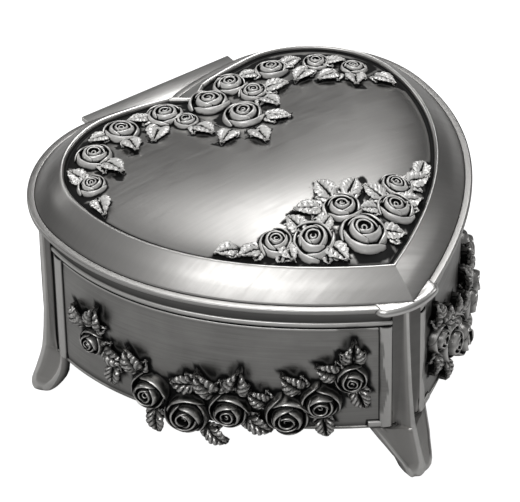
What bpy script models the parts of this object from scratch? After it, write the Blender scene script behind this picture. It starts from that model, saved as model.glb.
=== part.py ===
"""Heart-shaped footed trinket box of cast zinc alloy, with a hinged lid and applied sprays of roses.

Lengths are in metres and angles in degrees. +X is right, -Y is the tip of the heart, +Y is the hinge
side and +Z is up. The origin is on the floor, under the middle of the footprint.
"""
import math

import bmesh
import bpy
import numpy as np
from mathutils import Matrix, Vector

COLLECTION = "heart_trinket_box"
CUTTERS = "cutters"

# Outline of the lid's lip, one half: cleft, rear of the lobe, widest point and tip, with curve handles
CLEFT_Y = 0.0473
CLEFT_SLOPE = 37.7
CLEFT_HANDLE = 0.0042
LOBE_X = 0.0245
LOBE_REAR_Y = 0.0517
LOBE_HANDLE_IN = 0.0051
LOBE_HANDLE_OUT = 0.0163
HALF_WIDTH = 0.0600
WIDEST_Y = 0.0153
SIDE_HANDLE_REAR = 0.0215
SIDE_HANDLE_FRONT = 0.0382
TIP_REACH = 0.0642
TIP_SLOPE = 27.9
TIP_HANDLE = 0.0330
REAR_STEPS = 4
LOBE_STEPS = 10
SIDE_STEPS = 9

# Fits
GAP = 0.0003
OVERRUN = 0.0020

# Lid
LIP_UNDERSIDE_Z = 0.0551
LIP_THICKNESS = 0.0014
LIP_EDGE = 0.0003
LIP_BAND = 0.0020
LIP_LINE = 0.0003
RIDGE_INSET = 0.0092
RIDGE_Z = 0.0634
RIDGE_WIDTH = 0.0008
GROOVE_WIDTH = 0.0012
GROOVE_DEPTH = 0.0014
PANEL_STEP = 0.0003
DOME_RISE = 0.0042
LID_WALL = 0.0022
NOSE_CUT = 0.0019
NOSE_RADIUS = 0.0226
NOSE_HALF_WIDTH = 0.0088
NOSE_DEPTH = 0.0010
NOSE_BACK = 0.0034
CORNER_HALF_WIDTH = 0.0048

# Wall of the box
WALL_INSET = 0.0028
WALL_THICKNESS = 0.0022
WALL_BOTTOM_Z = 0.0152
FASCIA_HEIGHT = 0.0046
RAIL_HEIGHT = 0.0015
RAIL_PROUD = 0.0005
GROOVE_HEIGHT = 0.0007
FIELD_RECESS = 0.0003
BEAD_HEIGHT = 0.0007
BEAD_PROUD = 0.0003
LEDGE_WIDTH = 0.0030
LEDGE_THICKNESS = 0.0013
FRAME_BAR_WIDTH = 0.0017
FRAME_PROUD = 0.0004
FRAME_RETURN = 0.0052
FRAME_RETURN_RISE = 0.0012

# Feet and their pilasters
PILASTER_HALF_WIDTH = 0.0044
PILASTER_HEAD = 0.0005
FRONT_REACH = 0.0084
SIDE_REACH = 0.0064
SIDE_FOOT_TURN = 14.0
REAR_PILASTER_TOP = 0.0330
TOE_HALF_WIDTH = 0.0040
FLANGE_DEPTH = 0.0024
TOE_THICKNESS = 0.0042
REED_DEPTH = 0.0007

# Bottom plate, felt, pads and lining
PLATE_THICKNESS = 0.0012
FELT_THICKNESS = 0.0009
PAD_THICKNESS = 0.0028
PAD_CROWN = 0.0009
LINING_THICKNESS = 0.0011
LINING_DROP = 0.0030
LID_PAD_THICKNESS = 0.0019

# Hinge
BAR_HALF_WIDTH = 0.0240
BAR_OVERHANG = 0.0028
BAR_LAP = 0.0006
KNUCKLE_RADIUS = 0.0019
PIN_RADIUS = 0.0008
AXIS_BEHIND_WALL = 0.0027
LEAF_HALF_WIDTH = 0.0200
LEAF_THICKNESS = 0.0009
LEAF_DROP = 0.0075
MIDDLE_KNUCKLE = 0.0120
LID_LEAF_DEPTH = 0.0046
RIVET_RADIUS = 0.0011
RIVET_HEAD_RADIUS = 0.0018
RIVET_HEAD_HEIGHT = 0.0006
RIVET_DEPTH = 0.0010
BODY_RIVET_SHARE = 0.72
BODY_RIVET_DROP_SHARE = 0.70
LID_RIVET_SHARE = 0.50
RIVET_HEAD_EDGE_SHARE = 0.4
RIVET_HEAD_TOP_SHARE = 0.6
RIVET_SIDES = 12
SIDE_NAMES = ("left", "right")

# Sprays and garlands
ROSE_RADIUS = 0.0058
LEAF_LENGTH = 0.0078
LEAF_WIDTH = 0.0052
LEAF_RISE = 0.0017
STEM_WIDTH = 0.0036
STEM_RISE = 0.0010
STEM_STEPS = 2

RETURN_PROUD_SHARE = 0.8
ROSE_HEIGHT_SHARE = 0.62
LEAF_ROOT_SHARE = 0.55
LEAF_SOURCE_WEIGHT = 1.5
BUD_SHARE = 0.63
ROSE_COLUMNS = 8
BUD_COLUMNS = 7
ROSE_TURN = 0.9
PETAL_TURN = 1.3
PETAL_SWING_SHARE = 0.5
PETAL_LIFT_SHARE = 0.12
STEM_SHARES = (0.25, 0.75, 1.05)
STALK_WIDTH_SHARE = 0.45

# One ring of a rose a row: radius and height shares, lobes round the ring, and how deep the lobes are
ROSE_RING_SHARES = (
    (0.12, 0.90, 0, 0.00),
    (0.26, 0.98, 3, 0.12),
    (0.36, 0.56, 3, 0.12),
    (0.56, 0.86, 3, 0.16),
    (0.68, 0.40, 5, 0.12),
    (0.97, 0.62, 5, 0.14),
    (0.95, 0.00, 5, 0.10),
)
BUD_RING_SHARES = (
    (0.12, 0.92, 0, 0.00),
    (0.36, 1.00, 4, 0.12),
    (0.50, 0.55, 4, 0.12),
    (0.92, 0.66, 4, 0.14),
    (0.96, 0.00, 4, 0.10),
)

# One station of a leaf a row: place along the leaf, half-width, rib height and edge height shares
LEAF_STATION_SHARES = (
    (0.00, 0.30, 0.60, 0.60),
    (0.40, 0.96, 0.60, 1.00),
    (0.68, 0.84, 0.52, 0.95),
    (1.00, 0.06, 0.40, 0.50),
)

# Roses on the lid: x share of the half-width, y share of the tip's or the lobes' reach, and radius share
# of the largest rose
FRONT_ROSE_SHARES = (
    (0.000, -0.638, 1.00),
    (-0.208, -0.551, 0.90),
    (0.005, -0.447, 0.78),
    (0.220, -0.579, 0.76),
    (-0.333, -0.472, 0.70),
    (0.313, -0.463, 0.64),
)
REAR_ROSE_SHARES = (
    (-0.730, 0.366, 0.50),
    (-0.600, 0.566, 0.68),
    (-0.403, 0.667, 0.68),
    (-0.190, 0.650, 0.64),
    (-0.145, 0.540, 0.42),
    (0.020, 0.594, 0.80),
    (0.070, 0.371, 0.80),
    (0.180, 0.673, 0.62),
    (0.220, 0.537, 0.52),
    (0.395, 0.656, 0.58),
    (0.585, 0.563, 0.44),
    (0.698, 0.403, 0.46),
)

# Leaves on the lid: the same x and y shares, and size share. Each grows from the nearest rose.
FRONT_LEAF_SHARES = (
    (0.005, -0.318, 1.0),
    (0.115, -0.369, 1.0),
    (-0.120, -0.374, 1.0),
    (-0.215, -0.430, 0.9),
    (-0.110, -0.500, 0.8),
    (0.185, -0.444, 0.9),
    (0.110, -0.523, 0.7),
    (0.425, -0.467, 0.8),
    (0.490, -0.411, 0.7),
    (0.345, -0.603, 0.9),
    (0.135, -0.715, 0.9),
    (-0.460, -0.444, 0.8),
    (-0.560, -0.402, 0.8),
    (-0.370, -0.593, 0.8),
    (-0.185, -0.696, 0.9),
)
REAR_LEAF_SHARES = (
    (-0.785, 0.191, 0.9),
    (-0.580, 0.418, 0.9),
    (-0.440, 0.545, 0.8),
    (-0.725, 0.476, 0.7),
    (-0.300, 0.534, 0.9),
    (-0.120, 0.400, 0.9),
    (-0.080, 0.261, 0.9),
    (0.040, 0.157, 1.0),
    (0.185, 0.255, 0.9),
    (0.230, 0.389, 0.8),
    (0.320, 0.499, 0.8),
    (0.475, 0.505, 0.9),
    (0.560, 0.406, 0.8),
    (0.645, 0.313, 0.8),
    (0.755, 0.215, 0.8),
)

# Garland: place along half of the wall from the tip, height above the wall's bottom as a share of the
# wall's height, and size
GARLAND_ROSE_SHARES = (
    (0.084, 0.450, 0.64),
    (0.133, 0.275, 0.86),
    (0.184, 0.165, 0.95),
    (0.274, 0.120, 0.82),
    (0.345, 0.085, 0.90),
    (0.405, 0.140, 0.78),
    (0.505, 0.365, 0.50),
)
GARLAND_LEAF_SHARES = (
    (0.083, 0.680, 0.90),
    (0.084, 0.285, 0.85),
    (0.123, 0.560, 0.80),
    (0.173, 0.440, 0.85),
    (0.128, 0.070, 0.75),
    (0.224, 0.050, 0.85),
    (0.254, 0.345, 0.90),
    (0.305, 0.355, 0.90),
    (0.334, 0.350, 0.80),
    (0.295, -0.080, 0.80),
    (0.394, -0.080, 0.80),
    (0.425, 0.390, 0.85),
    (0.463, 0.370, 0.75),
    (0.493, 0.615, 0.90),
    (0.544, 0.490, 0.75),
)

# Foot sections from the floor up: height, reach of the front foot, reach of the others, half-width,
# thickness, and how far the section follows the wall behind it. The top one hooks under the wall.
FOOT_SECTION_SHARES = (
    (0.00, 0.77, 0.60, 0.80, 0.90, 0.0),
    (0.08, 0.90, 0.86, 0.95, 1.00, 0.0),
    (0.22, 0.98, 1.00, 1.00, 1.05, 0.0),
    (0.42, 1.00, 0.93, 1.05, 1.05, 0.1),
    (0.64, 0.88, 0.78, 1.25, 1.05, 0.4),
    (0.84, 0.74, 0.63, 1.65, 1.15, 0.8),
    (1.00, 0.64, 0.57, 2.40, 0.00, 1.0),
)
PILASTER_SECTION_SHARES = (
    (0.00, 0.60, 0.54),
    (0.08, 0.52, 0.44),
    (0.34, 0.39, 0.33),
    (0.64, 0.31, 0.30),
    (1.00, 0.25, 0.30),
)
FOOT_CROWN_SHARE = 0.40
REED_SHARES = ((0.00, 0.0), (0.26, 1.0), (0.48, 0.35), (0.74, 1.3), (1.00, 0.9))
DOME_RING_SHARES = (0.90, 0.74, 0.48, 0.18)
CEILING_RING_SHARES = (0.66, 0.18)
DOME_FULL_SHARE = 1.2
DOME_POWER_SHARE = 0.85
CROWN_RING_SHARES = (0.80, 0.45)

LIP_TOP_Z = LIP_UNDERSIDE_Z + LIP_THICKNESS
NOSE_REACH = TIP_REACH - NOSE_CUT
RIM_Z = LIP_UNDERSIDE_Z - GAP
PANEL_INSET = RIDGE_INSET + RIDGE_WIDTH + GROOVE_WIDTH
PANEL_Z = RIDGE_Z - GROOVE_DEPTH + PANEL_STEP
WALL_INNER = WALL_INSET + WALL_THICKNESS
WALL_REAR_Y = LOBE_REAR_Y - WALL_INSET
AXIS_Y = WALL_REAR_Y + AXIS_BEHIND_WALL
AXIS_Z = LIP_UNDERSIDE_Z - GAP - LEAF_THICKNESS - GAP - KNUCKLE_RADIUS
PLATE_Z = WALL_BOTTOM_Z + LEDGE_THICKNESS + GAP
FLOOR_PAD_Z = PLATE_Z + PLATE_THICKNESS + GAP
RELIEF_STANDOFF = BEAD_PROUD + GAP


def control_points():
    """The three cubic curves of one half of the outline, from the cleft round the lobe to the tip."""
    cleft = np.array([0.0, CLEFT_Y])
    rear = np.array([LOBE_X, LOBE_REAR_Y])
    widest = np.array([HALF_WIDTH, WIDEST_Y])
    tip = np.array([0.0, -TIP_REACH])
    leave = math.radians(CLEFT_SLOPE)
    arrive = math.radians(TIP_SLOPE)
    cleft_handle = cleft + CLEFT_HANDLE * np.array([math.cos(leave), math.sin(leave)])
    tip_handle = tip + TIP_HANDLE * np.array([math.cos(arrive), math.sin(arrive)])
    return (
        (cleft, cleft_handle, rear - [LOBE_HANDLE_IN, 0.0], rear),
        (rear, rear + [LOBE_HANDLE_OUT, 0.0], widest + [0.0, SIDE_HANDLE_REAR], widest),
        (widest, widest - [0.0, SIDE_HANDLE_FRONT], tip_handle, tip),
    )


def curve_point(curve, t, inset):
    """A point at t on one cubic curve, moved in from it by inset."""
    a, b, c, d = curve
    s = 1 - t
    point = s ** 3 * a + 3 * s * s * t * b + 3 * s * t * t * c + t ** 3 * d
    along = s * s * (b - a) + 2 * s * t * (c - b) + t * t * (d - c)
    along = along / np.hypot(*along)
    return point - inset * np.array([-along[1], along[0]]), along


def solve_x(curve, inset, x, low, high):
    """The t at which the inset curve reaches x, where x falls from low to high."""
    for _ in range(40):
        middle = (low + high) / 2
        if curve_point(curve, middle, inset)[0][0] > x:
            low = middle
        else:
            high = middle
    return (low + high) / 2


def heart_half(inset, tip="mitre", rear="cleft"):
    """Points of one half of the outline at an inset, from the middle of the rear to the tip.

    tip is mitre, flat (a flat seat for the front pilaster) or nose (the finger tab's round nose).
    rear is cleft or straight (a straight wall from lobe to lobe).
    """
    first, second, third = control_points()
    points = []
    if rear == "cleft":
        start, along = curve_point(first, 0.0, inset)
        points.append(start - along * (start[0] / along[0]))
        points += [curve_point(first, i / REAR_STEPS, inset)[0] for i in range(1, REAR_STEPS + 1)]
    else:
        top = curve_point(first, 1.0, inset)[0]
        points += [np.array([top[0] * i / REAR_STEPS, top[1]]) for i in range(REAR_STEPS + 1)]
    points += [curve_point(second, i / LOBE_STEPS, inset)[0] for i in range(1, LOBE_STEPS + 1)]
    corner_t = solve_x(third, inset, CORNER_HALF_WIDTH, 0.5, 1.0)
    points += [curve_point(third, corner_t * i / SIDE_STEPS, inset)[0] for i in range(1, SIDE_STEPS + 1)]
    if tip == "mitre":
        end = curve_point(third, solve_x(third, inset, 0.0, 0.5, 1.0), inset)[0]
        points.append(np.array([0.0, end[1]]))
    elif tip == "flat":
        points.append(np.array([0.0, points[-1][1]]))
    else:
        points.append(np.array([0.0, inset - NOSE_REACH]))
    return points


def heart_ring(inset, z, tip="mitre", rear="cleft"):
    """The whole outline at an inset and a height, as one closed ring."""
    half = heart_half(inset, tip, rear)
    right = [Vector((p[0], p[1], z)) for p in half]
    left = [Vector((-p[0], p[1], z)) for p in reversed(half[1:-1])]
    return right + left


def shrink(ring, share, height):
    """A ring drawn in towards the outline's middle by a share, at heights from a function of x and y."""
    return [Vector((p.x * share, p.y * share, height(p.x * share, p.y * share))) for p in ring]


def panel_samples():
    """Points close together along the panel's edge."""
    samples = []
    curves = control_points()
    for curve in curves:
        samples += [curve_point(curve, i / 80, PANEL_INSET)[0] for i in range(80)]
    half = np.array([p for p in samples if p[0] > 0])
    return np.concatenate([half, half * [-1, 1]])


EDGE_SAMPLES = panel_samples()


def swell(x, y):
    """How far in from the panel's edge a point lies, as a smooth measure that is zero at the edge."""
    d = EDGE_SAMPLES - np.array([x, y])
    return 1.0 / np.mean(1.0 / np.maximum((d * d).sum(1), GAP * GAP))


FULL_SWELL = swell(0.0, 0.0)


def dome_z(x, y):
    """Height of the lid's domed panel."""
    return PANEL_Z + DOME_RISE * min(swell(x, y) / FULL_SWELL, DOME_FULL_SHARE) ** DOME_POWER_SHARE


def lid_cover_z(x, y):
    """Height that a piece lying on the lid has to clear at x and y: the panel or the ridge round it."""
    nearest = math.sqrt(((EDGE_SAMPLES - np.array([x, y])) ** 2).sum(1).min())
    inside = point_in_panel(x, y)
    if inside or nearest < GROOVE_WIDTH:
        return dome_z(x, y)
    return RIDGE_Z


def point_in_panel(x, y):
    """Whether x and y lie inside the panel's edge."""
    ring = heart_ring(PANEL_INSET, 0.0)
    inside = False
    for a, b in zip(ring, ring[1:] + ring[:1]):
        if (a.y > y) != (b.y > y) and x < (b.x - a.x) * (y - a.y) / (b.y - a.y) + a.x:
            inside = not inside
    return inside


def clear_scene():
    """Removes what the scene holds and makes the two collections."""
    for obj in list(bpy.data.objects):
        bpy.data.objects.remove(obj, do_unlink=True)
    for name in (COLLECTION, CUTTERS):
        group = bpy.data.collections.new(name)
        bpy.context.scene.collection.children.link(group)


def material(name, colour, roughness, metallic):
    """A plain Principled material."""
    mat = bpy.data.materials.new(name)
    mat.use_nodes = True
    shader = mat.node_tree.nodes["Principled BSDF"]
    shader.inputs["Base Color"].default_value = (*colour, 1.0)
    shader.inputs["Roughness"].default_value = roughness
    shader.inputs["Metallic"].default_value = metallic
    return mat


def loft(rings, looped=False):
    """A closed body through rings of equal count, capped at both ends or looped back to the first ring."""
    bm = bmesh.new()
    rows = [[bm.verts.new(p) for p in ring] for ring in rings]
    pairs = list(zip(rows[:-1], rows[1:]))
    if looped:
        pairs.append((rows[-1], rows[0]))
    for low, high in pairs:
        count = len(low)
        for i in range(count):
            j = (i + 1) % count
            bm.faces.new((low[i], low[j], high[j], high[i]))
    if not looped:
        bm.faces.new(rows[0])
        bm.faces.new(rows[-1])
    bmesh.ops.recalc_face_normals(bm, faces=bm.faces)
    return bm


def box(low, high):
    """A box between two corners."""
    bm = bmesh.new()
    size = Vector(high) - Vector(low)
    middle = (Vector(high) + Vector(low)) / 2
    bmesh.ops.create_cube(bm, size=1.0, matrix=Matrix.Translation(middle) @ Matrix.Diagonal((*size, 1)))
    return bm


def rod(radius, start, end, sides=20):
    """A cylinder between two points."""
    bm = bmesh.new()
    run = Vector(end) - Vector(start)
    turn = run.to_track_quat("Z", "Y").to_matrix().to_4x4()
    place = Matrix.Translation((Vector(start) + Vector(end)) / 2) @ turn
    bmesh.ops.create_cone(bm, cap_ends=True, segments=sides, radius1=radius, radius2=radius,
                          depth=run.length, matrix=place)
    return bm


def add(name, bm, mat, parent, group=COLLECTION, angle=32.0):
    """Makes an object of a mesh. Mesh places are in the heart's own axes, and the parent holds the rest."""
    mesh = bpy.data.meshes.new(name)
    bm.to_mesh(mesh)
    bm.free()
    mesh.shade_smooth()
    mesh.set_sharp_from_angle(angle=math.radians(angle))
    obj = bpy.data.objects.new(name, mesh)
    bpy.data.collections[group].objects.link(obj)
    if mat:
        mesh.materials.append(mat)
    obj.parent = parent
    obj.location = -Vector(parent["joint_axis"])
    return obj


def helper(name, bm, parent, group=CUTTERS):
    """A hidden body that cuts or joins another."""
    obj = add(name, bm, None, parent, group)
    obj.hide_render = True
    obj.display_type = "WIRE"
    return obj


def combine(obj, other, operation):
    """A Boolean of one object with another."""
    mod = obj.modifiers.new(operation.lower(), "BOOLEAN")
    mod.operation = operation
    mod.object = other


def make_empty(name, place, axis_place):
    """An empty that carries pieces. Its joint_axis is its own place in the heart's axes."""
    empty = bpy.data.objects.new(name, None)
    empty.location = place
    empty["joint_axis"] = axis_place
    bpy.data.collections[COLLECTION].objects.link(empty)
    return empty


def lid_shell(parent, metal):
    """Lid casting: lip, bevelled border, ridge, groove and dome outside, a plain hollow inside."""
    step = LIP_LINE
    groove_z = RIDGE_Z - GROOVE_DEPTH
    hollow = LIP_BAND + LID_WALL + LIP_THICKNESS
    outside = [
        heart_ring(LIP_EDGE, LIP_UNDERSIDE_Z, "nose"),
        heart_ring(0.0, LIP_UNDERSIDE_Z + LIP_EDGE, "nose"),
        heart_ring(0.0, LIP_TOP_Z - LIP_EDGE, "nose"),
        heart_ring(LIP_EDGE, LIP_TOP_Z, "nose"),
        heart_ring(LIP_BAND, LIP_TOP_Z, "nose"),
        heart_ring(LIP_BAND + step, LIP_TOP_Z + step, "nose"),
        heart_ring((LIP_BAND + RIDGE_INSET) / 2, (LIP_TOP_Z + RIDGE_Z) / 2 + step),
        heart_ring(RIDGE_INSET, RIDGE_Z),
        heart_ring(RIDGE_INSET + RIDGE_WIDTH, RIDGE_Z - step),
        heart_ring(RIDGE_INSET + RIDGE_WIDTH + step, groove_z),
        heart_ring(PANEL_INSET - step, groove_z),
    ]
    panel = heart_ring(PANEL_INSET, PANEL_Z)
    outside.append(panel)
    outside += [shrink(panel, share, dome_z) for share in DOME_RING_SHARES]
    ceiling = [
        heart_ring(hollow, LIP_UNDERSIDE_Z),
        heart_ring(hollow, LIP_TOP_Z),
        heart_ring(PANEL_INSET, groove_z - LID_WALL),
    ]
    under = heart_ring(PANEL_INSET, groove_z - LID_WALL)
    ceiling += [shrink(under, share, lambda x, y: dome_z(x, y) - LID_WALL) for share in CEILING_RING_SHARES]
    obj = add("lid_shell", loft(list(reversed(outside)) + ceiling), metal, parent)
    bar = box((-BAR_HALF_WIDTH, CLEFT_Y - BAR_LAP, LIP_UNDERSIDE_Z),
              (BAR_HALF_WIDTH, LOBE_REAR_Y + BAR_OVERHANG, LIP_TOP_Z - LIP_EDGE))
    combine(obj, helper("lid_bar", bar, parent), "UNION")
    combine(obj, helper("lid_tab", finger_tab(), parent), "UNION")
    for index, place in enumerate(lid_rivet_places()):
        low = place - Vector((0, 0, OVERRUN))
        hole = rod(RIVET_RADIUS + GAP, low, place + Vector((0, 0, RIVET_DEPTH)), RIVET_SIDES)
        combine(obj, helper(f"lid_rivet_hole_{index}", hole, parent), "DIFFERENCE")
    return obj


def finger_tab():
    """The finger tab: a rounded nose at the tip, with a shallow lip below the rest."""
    rings = []
    for z, draw in ((LIP_UNDERSIDE_Z - NOSE_DEPTH, 1.0), (LIP_UNDERSIDE_Z, 0.0), (LIP_TOP_Z - LIP_EDGE, 0.0)):
        ring = []
        half = NOSE_HALF_WIDTH - draw * NOSE_DEPTH
        steps = 8
        for i in range(steps + 1):
            x = half * (1 - 2 * i / steps)
            ring.append(Vector((x, -NOSE_REACH + draw * LIP_EDGE + x * x / (2 * NOSE_RADIUS), z)))
        back = -NOSE_REACH + NOSE_BACK
        ring.append(Vector((-half, back, z)))
        ring.append(Vector((half, back, z)))
        rings.append(ring)
    return loft(rings)


def box_wall(parent, metal):
    """Wall casting: fascia, rail, groove, recessed field, bottom bead and an inner ledge for the plate."""
    flat = "flat"
    rail_top = RIM_Z - FASCIA_HEIGHT
    rail_low = rail_top - RAIL_HEIGHT
    field = WALL_INSET + FIELD_RECESS
    ledge_top = WALL_BOTTOM_Z + LEDGE_THICKNESS
    bead_top = WALL_BOTTOM_Z + BEAD_HEIGHT
    levels = (
        (WALL_INSET, RIM_Z),
        (WALL_INSET, rail_top),
        (WALL_INSET - RAIL_PROUD, rail_top - FIELD_RECESS),
        (WALL_INSET - RAIL_PROUD, rail_low + FIELD_RECESS),
        (field, rail_low),
        (field, rail_low - GROOVE_HEIGHT),
        (WALL_INSET, rail_low - GROOVE_HEIGHT - FIELD_RECESS),
        (WALL_INSET, bead_top),
        (WALL_INSET - BEAD_PROUD, bead_top - BEAD_PROUD),
        (WALL_INSET - BEAD_PROUD, WALL_BOTTOM_Z),
        (WALL_INNER + LEDGE_WIDTH, WALL_BOTTOM_Z),
        (WALL_INNER + LEDGE_WIDTH, ledge_top),
        (WALL_INNER, ledge_top),
        (WALL_INNER, RIM_Z),
    )
    rings = [heart_ring(inset, z, flat, "straight") for inset, z in levels]
    obj = add("box_wall", loft(rings, looped=True), metal, parent)
    for index, side in enumerate((-1, 1)):
        for end, bars in enumerate(frame_bars(side)):
            combine(obj, helper(f"frame_{index}_{end}", bars, parent), "UNION")
    half = LEAF_HALF_WIDTH + GAP
    seat = box((-half, WALL_REAR_Y - GAP, AXIS_Z - LEAF_DROP - GAP),
               (half, WALL_REAR_Y + RAIL_PROUD + OVERRUN, RIM_Z + OVERRUN))
    combine(obj, helper("leaf_seat", seat, parent), "DIFFERENCE")
    for index, place in enumerate(leaf_rivet_places()):
        end = place - Vector((0, RIVET_DEPTH, 0))
        hole = rod(RIVET_RADIUS + GAP, end, place + Vector((0, OVERRUN, 0)), RIVET_SIDES)
        combine(obj, helper(f"wall_rivet_hole_{index}", hole, parent), "DIFFERENCE")
    return obj


def leaf_rivet_places():
    """Places on the wall, under the body's hinge leaf, where its two rivets go in."""
    z = AXIS_Z - LEAF_DROP * BODY_RIVET_DROP_SHARE
    return [Vector((side * LEAF_HALF_WIDTH * BODY_RIVET_SHARE, WALL_REAR_Y - GAP, z)) for side in (-1, 1)]


def lid_rivet_places():
    """Places on the lip's underside, over the lid's hinge leaf, where its two rivets go in."""
    return [Vector((side * LEAF_HALF_WIDTH * LID_RIVET_SHARE, AXIS_Y, LIP_UNDERSIDE_Z)) for side in (-1, 1)]


def wall_station(distance, side, proud=0.0):
    """A place on the wall's outside, at a distance along it from the front flat, and its outward normal."""
    half = [p for p in reversed(heart_half(WALL_INSET, "flat", "straight"))]
    left = distance
    for a, b in zip(half[:-1], half[1:]):
        length = np.hypot(*(b - a))
        if left <= length:
            break
        left -= length
    along = (b - a) / length
    place = a + along * left
    normal = np.array([along[1], -along[0]])
    place = place + normal * proud
    return Vector((side * place[0], place[1], 0.0)), Vector((side * normal[0], normal[1], 0.0))


def side_foot_distance():
    """Distance along the wall from the front flat to the middle of a side foot."""
    half = [p for p in reversed(heart_half(WALL_INSET, "flat", "straight"))]
    turn = math.radians(SIDE_FOOT_TURN)
    total = 0.0
    for a, b in zip(half[:-1], half[1:]):
        along = (b - a) / np.hypot(*(b - a))
        if math.atan2(-along[0], along[1]) > turn:
            return total
        total += np.hypot(*(b - a))
    return total


def half_wall_length():
    """Length of one half of the wall's outside."""
    half = heart_half(WALL_INSET, "flat", "straight")
    return sum(np.hypot(*(b - a)) for a, b in zip(half[:-1], half[1:]))


def strip_on_wall(start, end, low, high, side, proud):
    """A raised strip on the wall between two distances and two heights."""
    rings = []
    for distance in (start, end):
        place, normal = wall_station(distance, side)
        inner = place - normal * (WALL_THICKNESS / 2)
        outer = place + normal * proud
        rings.append([Vector((inner.x, inner.y, low)), Vector((outer.x, outer.y, low)),
                      Vector((outer.x, outer.y, high)), Vector((inner.x, inner.y, high))])
    return loft(rings)


def frame_bars(side):
    """The upright bars of a front panel's frame, and their short returns at the bottom."""
    top = RIM_Z - FASCIA_HEIGHT - RAIL_HEIGHT / 2
    bottom = WALL_BOTTOM_Z + BEAD_HEIGHT + FRAME_RETURN_RISE
    front = PILASTER_HALF_WIDTH + GAP + FRAME_BAR_WIDTH / 2
    rear = side_foot_distance() - front
    bars = []
    for start, end, back in ((front, front + FRAME_BAR_WIDTH, 1), (rear - FRAME_BAR_WIDTH, rear, -1)):
        bars.append(strip_on_wall(start, end, bottom, top, side, FRAME_PROUD))
        inner = end if back > 0 else start
        low, high = sorted((inner - back * FRAME_BAR_WIDTH / 2, inner + back * FRAME_RETURN))
        bars.append(strip_on_wall(low, high, bottom - FRAME_BAR_WIDTH / 2, bottom + FRAME_BAR_WIDTH / 2,
                                  side, FRAME_PROUD * RETURN_PROUD_SHARE))
    return bars


def foot_ring(place, out, z, width, front, back, fall):
    """One plan section of a foot or pilaster, reeded in front. fall is how far the wall drops back."""
    across = Vector((0, 0, 1)).cross(out)
    half = [(0.0, back), (width, back - fall(width))]
    for share, reed in reversed(REED_SHARES):
        s = width * share
        face = front * (1 - FOOT_CROWN_SHARE * share * share) - reed * REED_DEPTH
        half.append((s, max(face, back + REED_DEPTH) - fall(s)))
    ring = [place + across * s + out * n for s, n in half]
    ring += [place - across * s + out * n for s, n in reversed(half[1:-1])]
    return [Vector((p.x, p.y, z)) for p in ring]


def foot(name, parent, metal, place, normal, reach, seat, top_z, column):
    """A bracket foot with its ribbed pilaster. seat gives how far the wall drops back at a distance s."""
    out = Vector(normal)
    under = WALL_BOTTOM_Z - GAP - GAP / 2
    rings = []
    for row in FOOT_SECTION_SHARES:
        height, width_share, thickness_share, cling = row[0], row[3], row[4], row[5]
        front = reach * row[column]
        back = front - TOE_THICKNESS * thickness_share if thickness_share else -FLANGE_DEPTH
        rings.append(foot_ring(place, out, under * height, TOE_HALF_WIDTH * width_share, front, back,
                               lambda s, cling=cling: cling * seat(s)))
    start = WALL_BOTTOM_Z - GAP
    for row in PILASTER_SECTION_SHARES:
        rings.append(foot_ring(place, out, start + (top_z - start) * row[0], PILASTER_HALF_WIDTH,
                               reach * row[column], RAIL_PROUD + GAP, seat))
    return add(name, loft(rings), metal, parent, angle=40.0)


def rose_rings(radius, frame, small):
    """Rings of one rose, from the bud's tip out to its base. frame places it."""
    rings = []
    shares = BUD_RING_SHARES if small else ROSE_RING_SHARES
    columns = BUD_COLUMNS if small else ROSE_COLUMNS
    height = radius * ROSE_HEIGHT_SHARE
    for index, (out, up, lobes, depth) in enumerate(shares):
        ring = []
        for i in range(columns):
            turn = 2 * math.pi * i / columns
            swing = math.cos(lobes * turn + index * PETAL_TURN) if lobes else 0.0
            r = radius * out * (1 + depth * swing * PETAL_SWING_SHARE)
            lift = up * (1 + PETAL_LIFT_SHARE * swing) if 0 < index < len(shares) - 1 else up
            ring.append(frame @ Vector((r * math.cos(turn), r * math.sin(turn), height * lift)))
        rings.append(ring)
    return rings


def leaf_rings(length, width, frame):
    """Sections of one leaf, from its stalk to its point, lying along the frame's x axis."""
    rings = []
    for place, half, rib, edge in LEAF_STATION_SHARES:
        x = place * length - length / 2
        y = half * width / 2
        rise = LEAF_RISE
        rings.append([frame @ Vector(p) for p in (
            (x, -y, 0.0), (x, y, 0.0), (x, y, rise * edge), (x, 0.0, rise * rib), (x, -y, rise * edge))])
    return rings


def strip_ring(place, up, side, half_width, crown):
    """A section of a low strip at a place: two feet, two shoulders and a crown, inside what it joins."""
    foot, shoulder, _ = STEM_SHARES
    left = place - side * half_width
    right = place + side * half_width
    low = up * (STEM_RISE * foot)
    high = up * (STEM_RISE * shoulder)
    return [left + low, right + low, right + high, place + up * (STEM_RISE * crown), left + high]


def stem_rings(frames):
    """A low strip that ties two flowers together, through frames whose x axis runs along it."""
    return [strip_ring(frame.translation, frame.col[2].to_3d(), frame.col[1].to_3d(), STEM_WIDTH / 2,
                       STEM_SHARES[2]) for frame in frames]


def stalk_ring(place, up, ahead):
    """The first section of a leaf, inside the flower or leaf that it grows from."""
    side = up.cross(ahead).normalized()
    return strip_ring(place, up, side, STEM_WIDTH / 2 * STALK_WIDTH_SHARE, STEM_SHARES[1])


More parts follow.
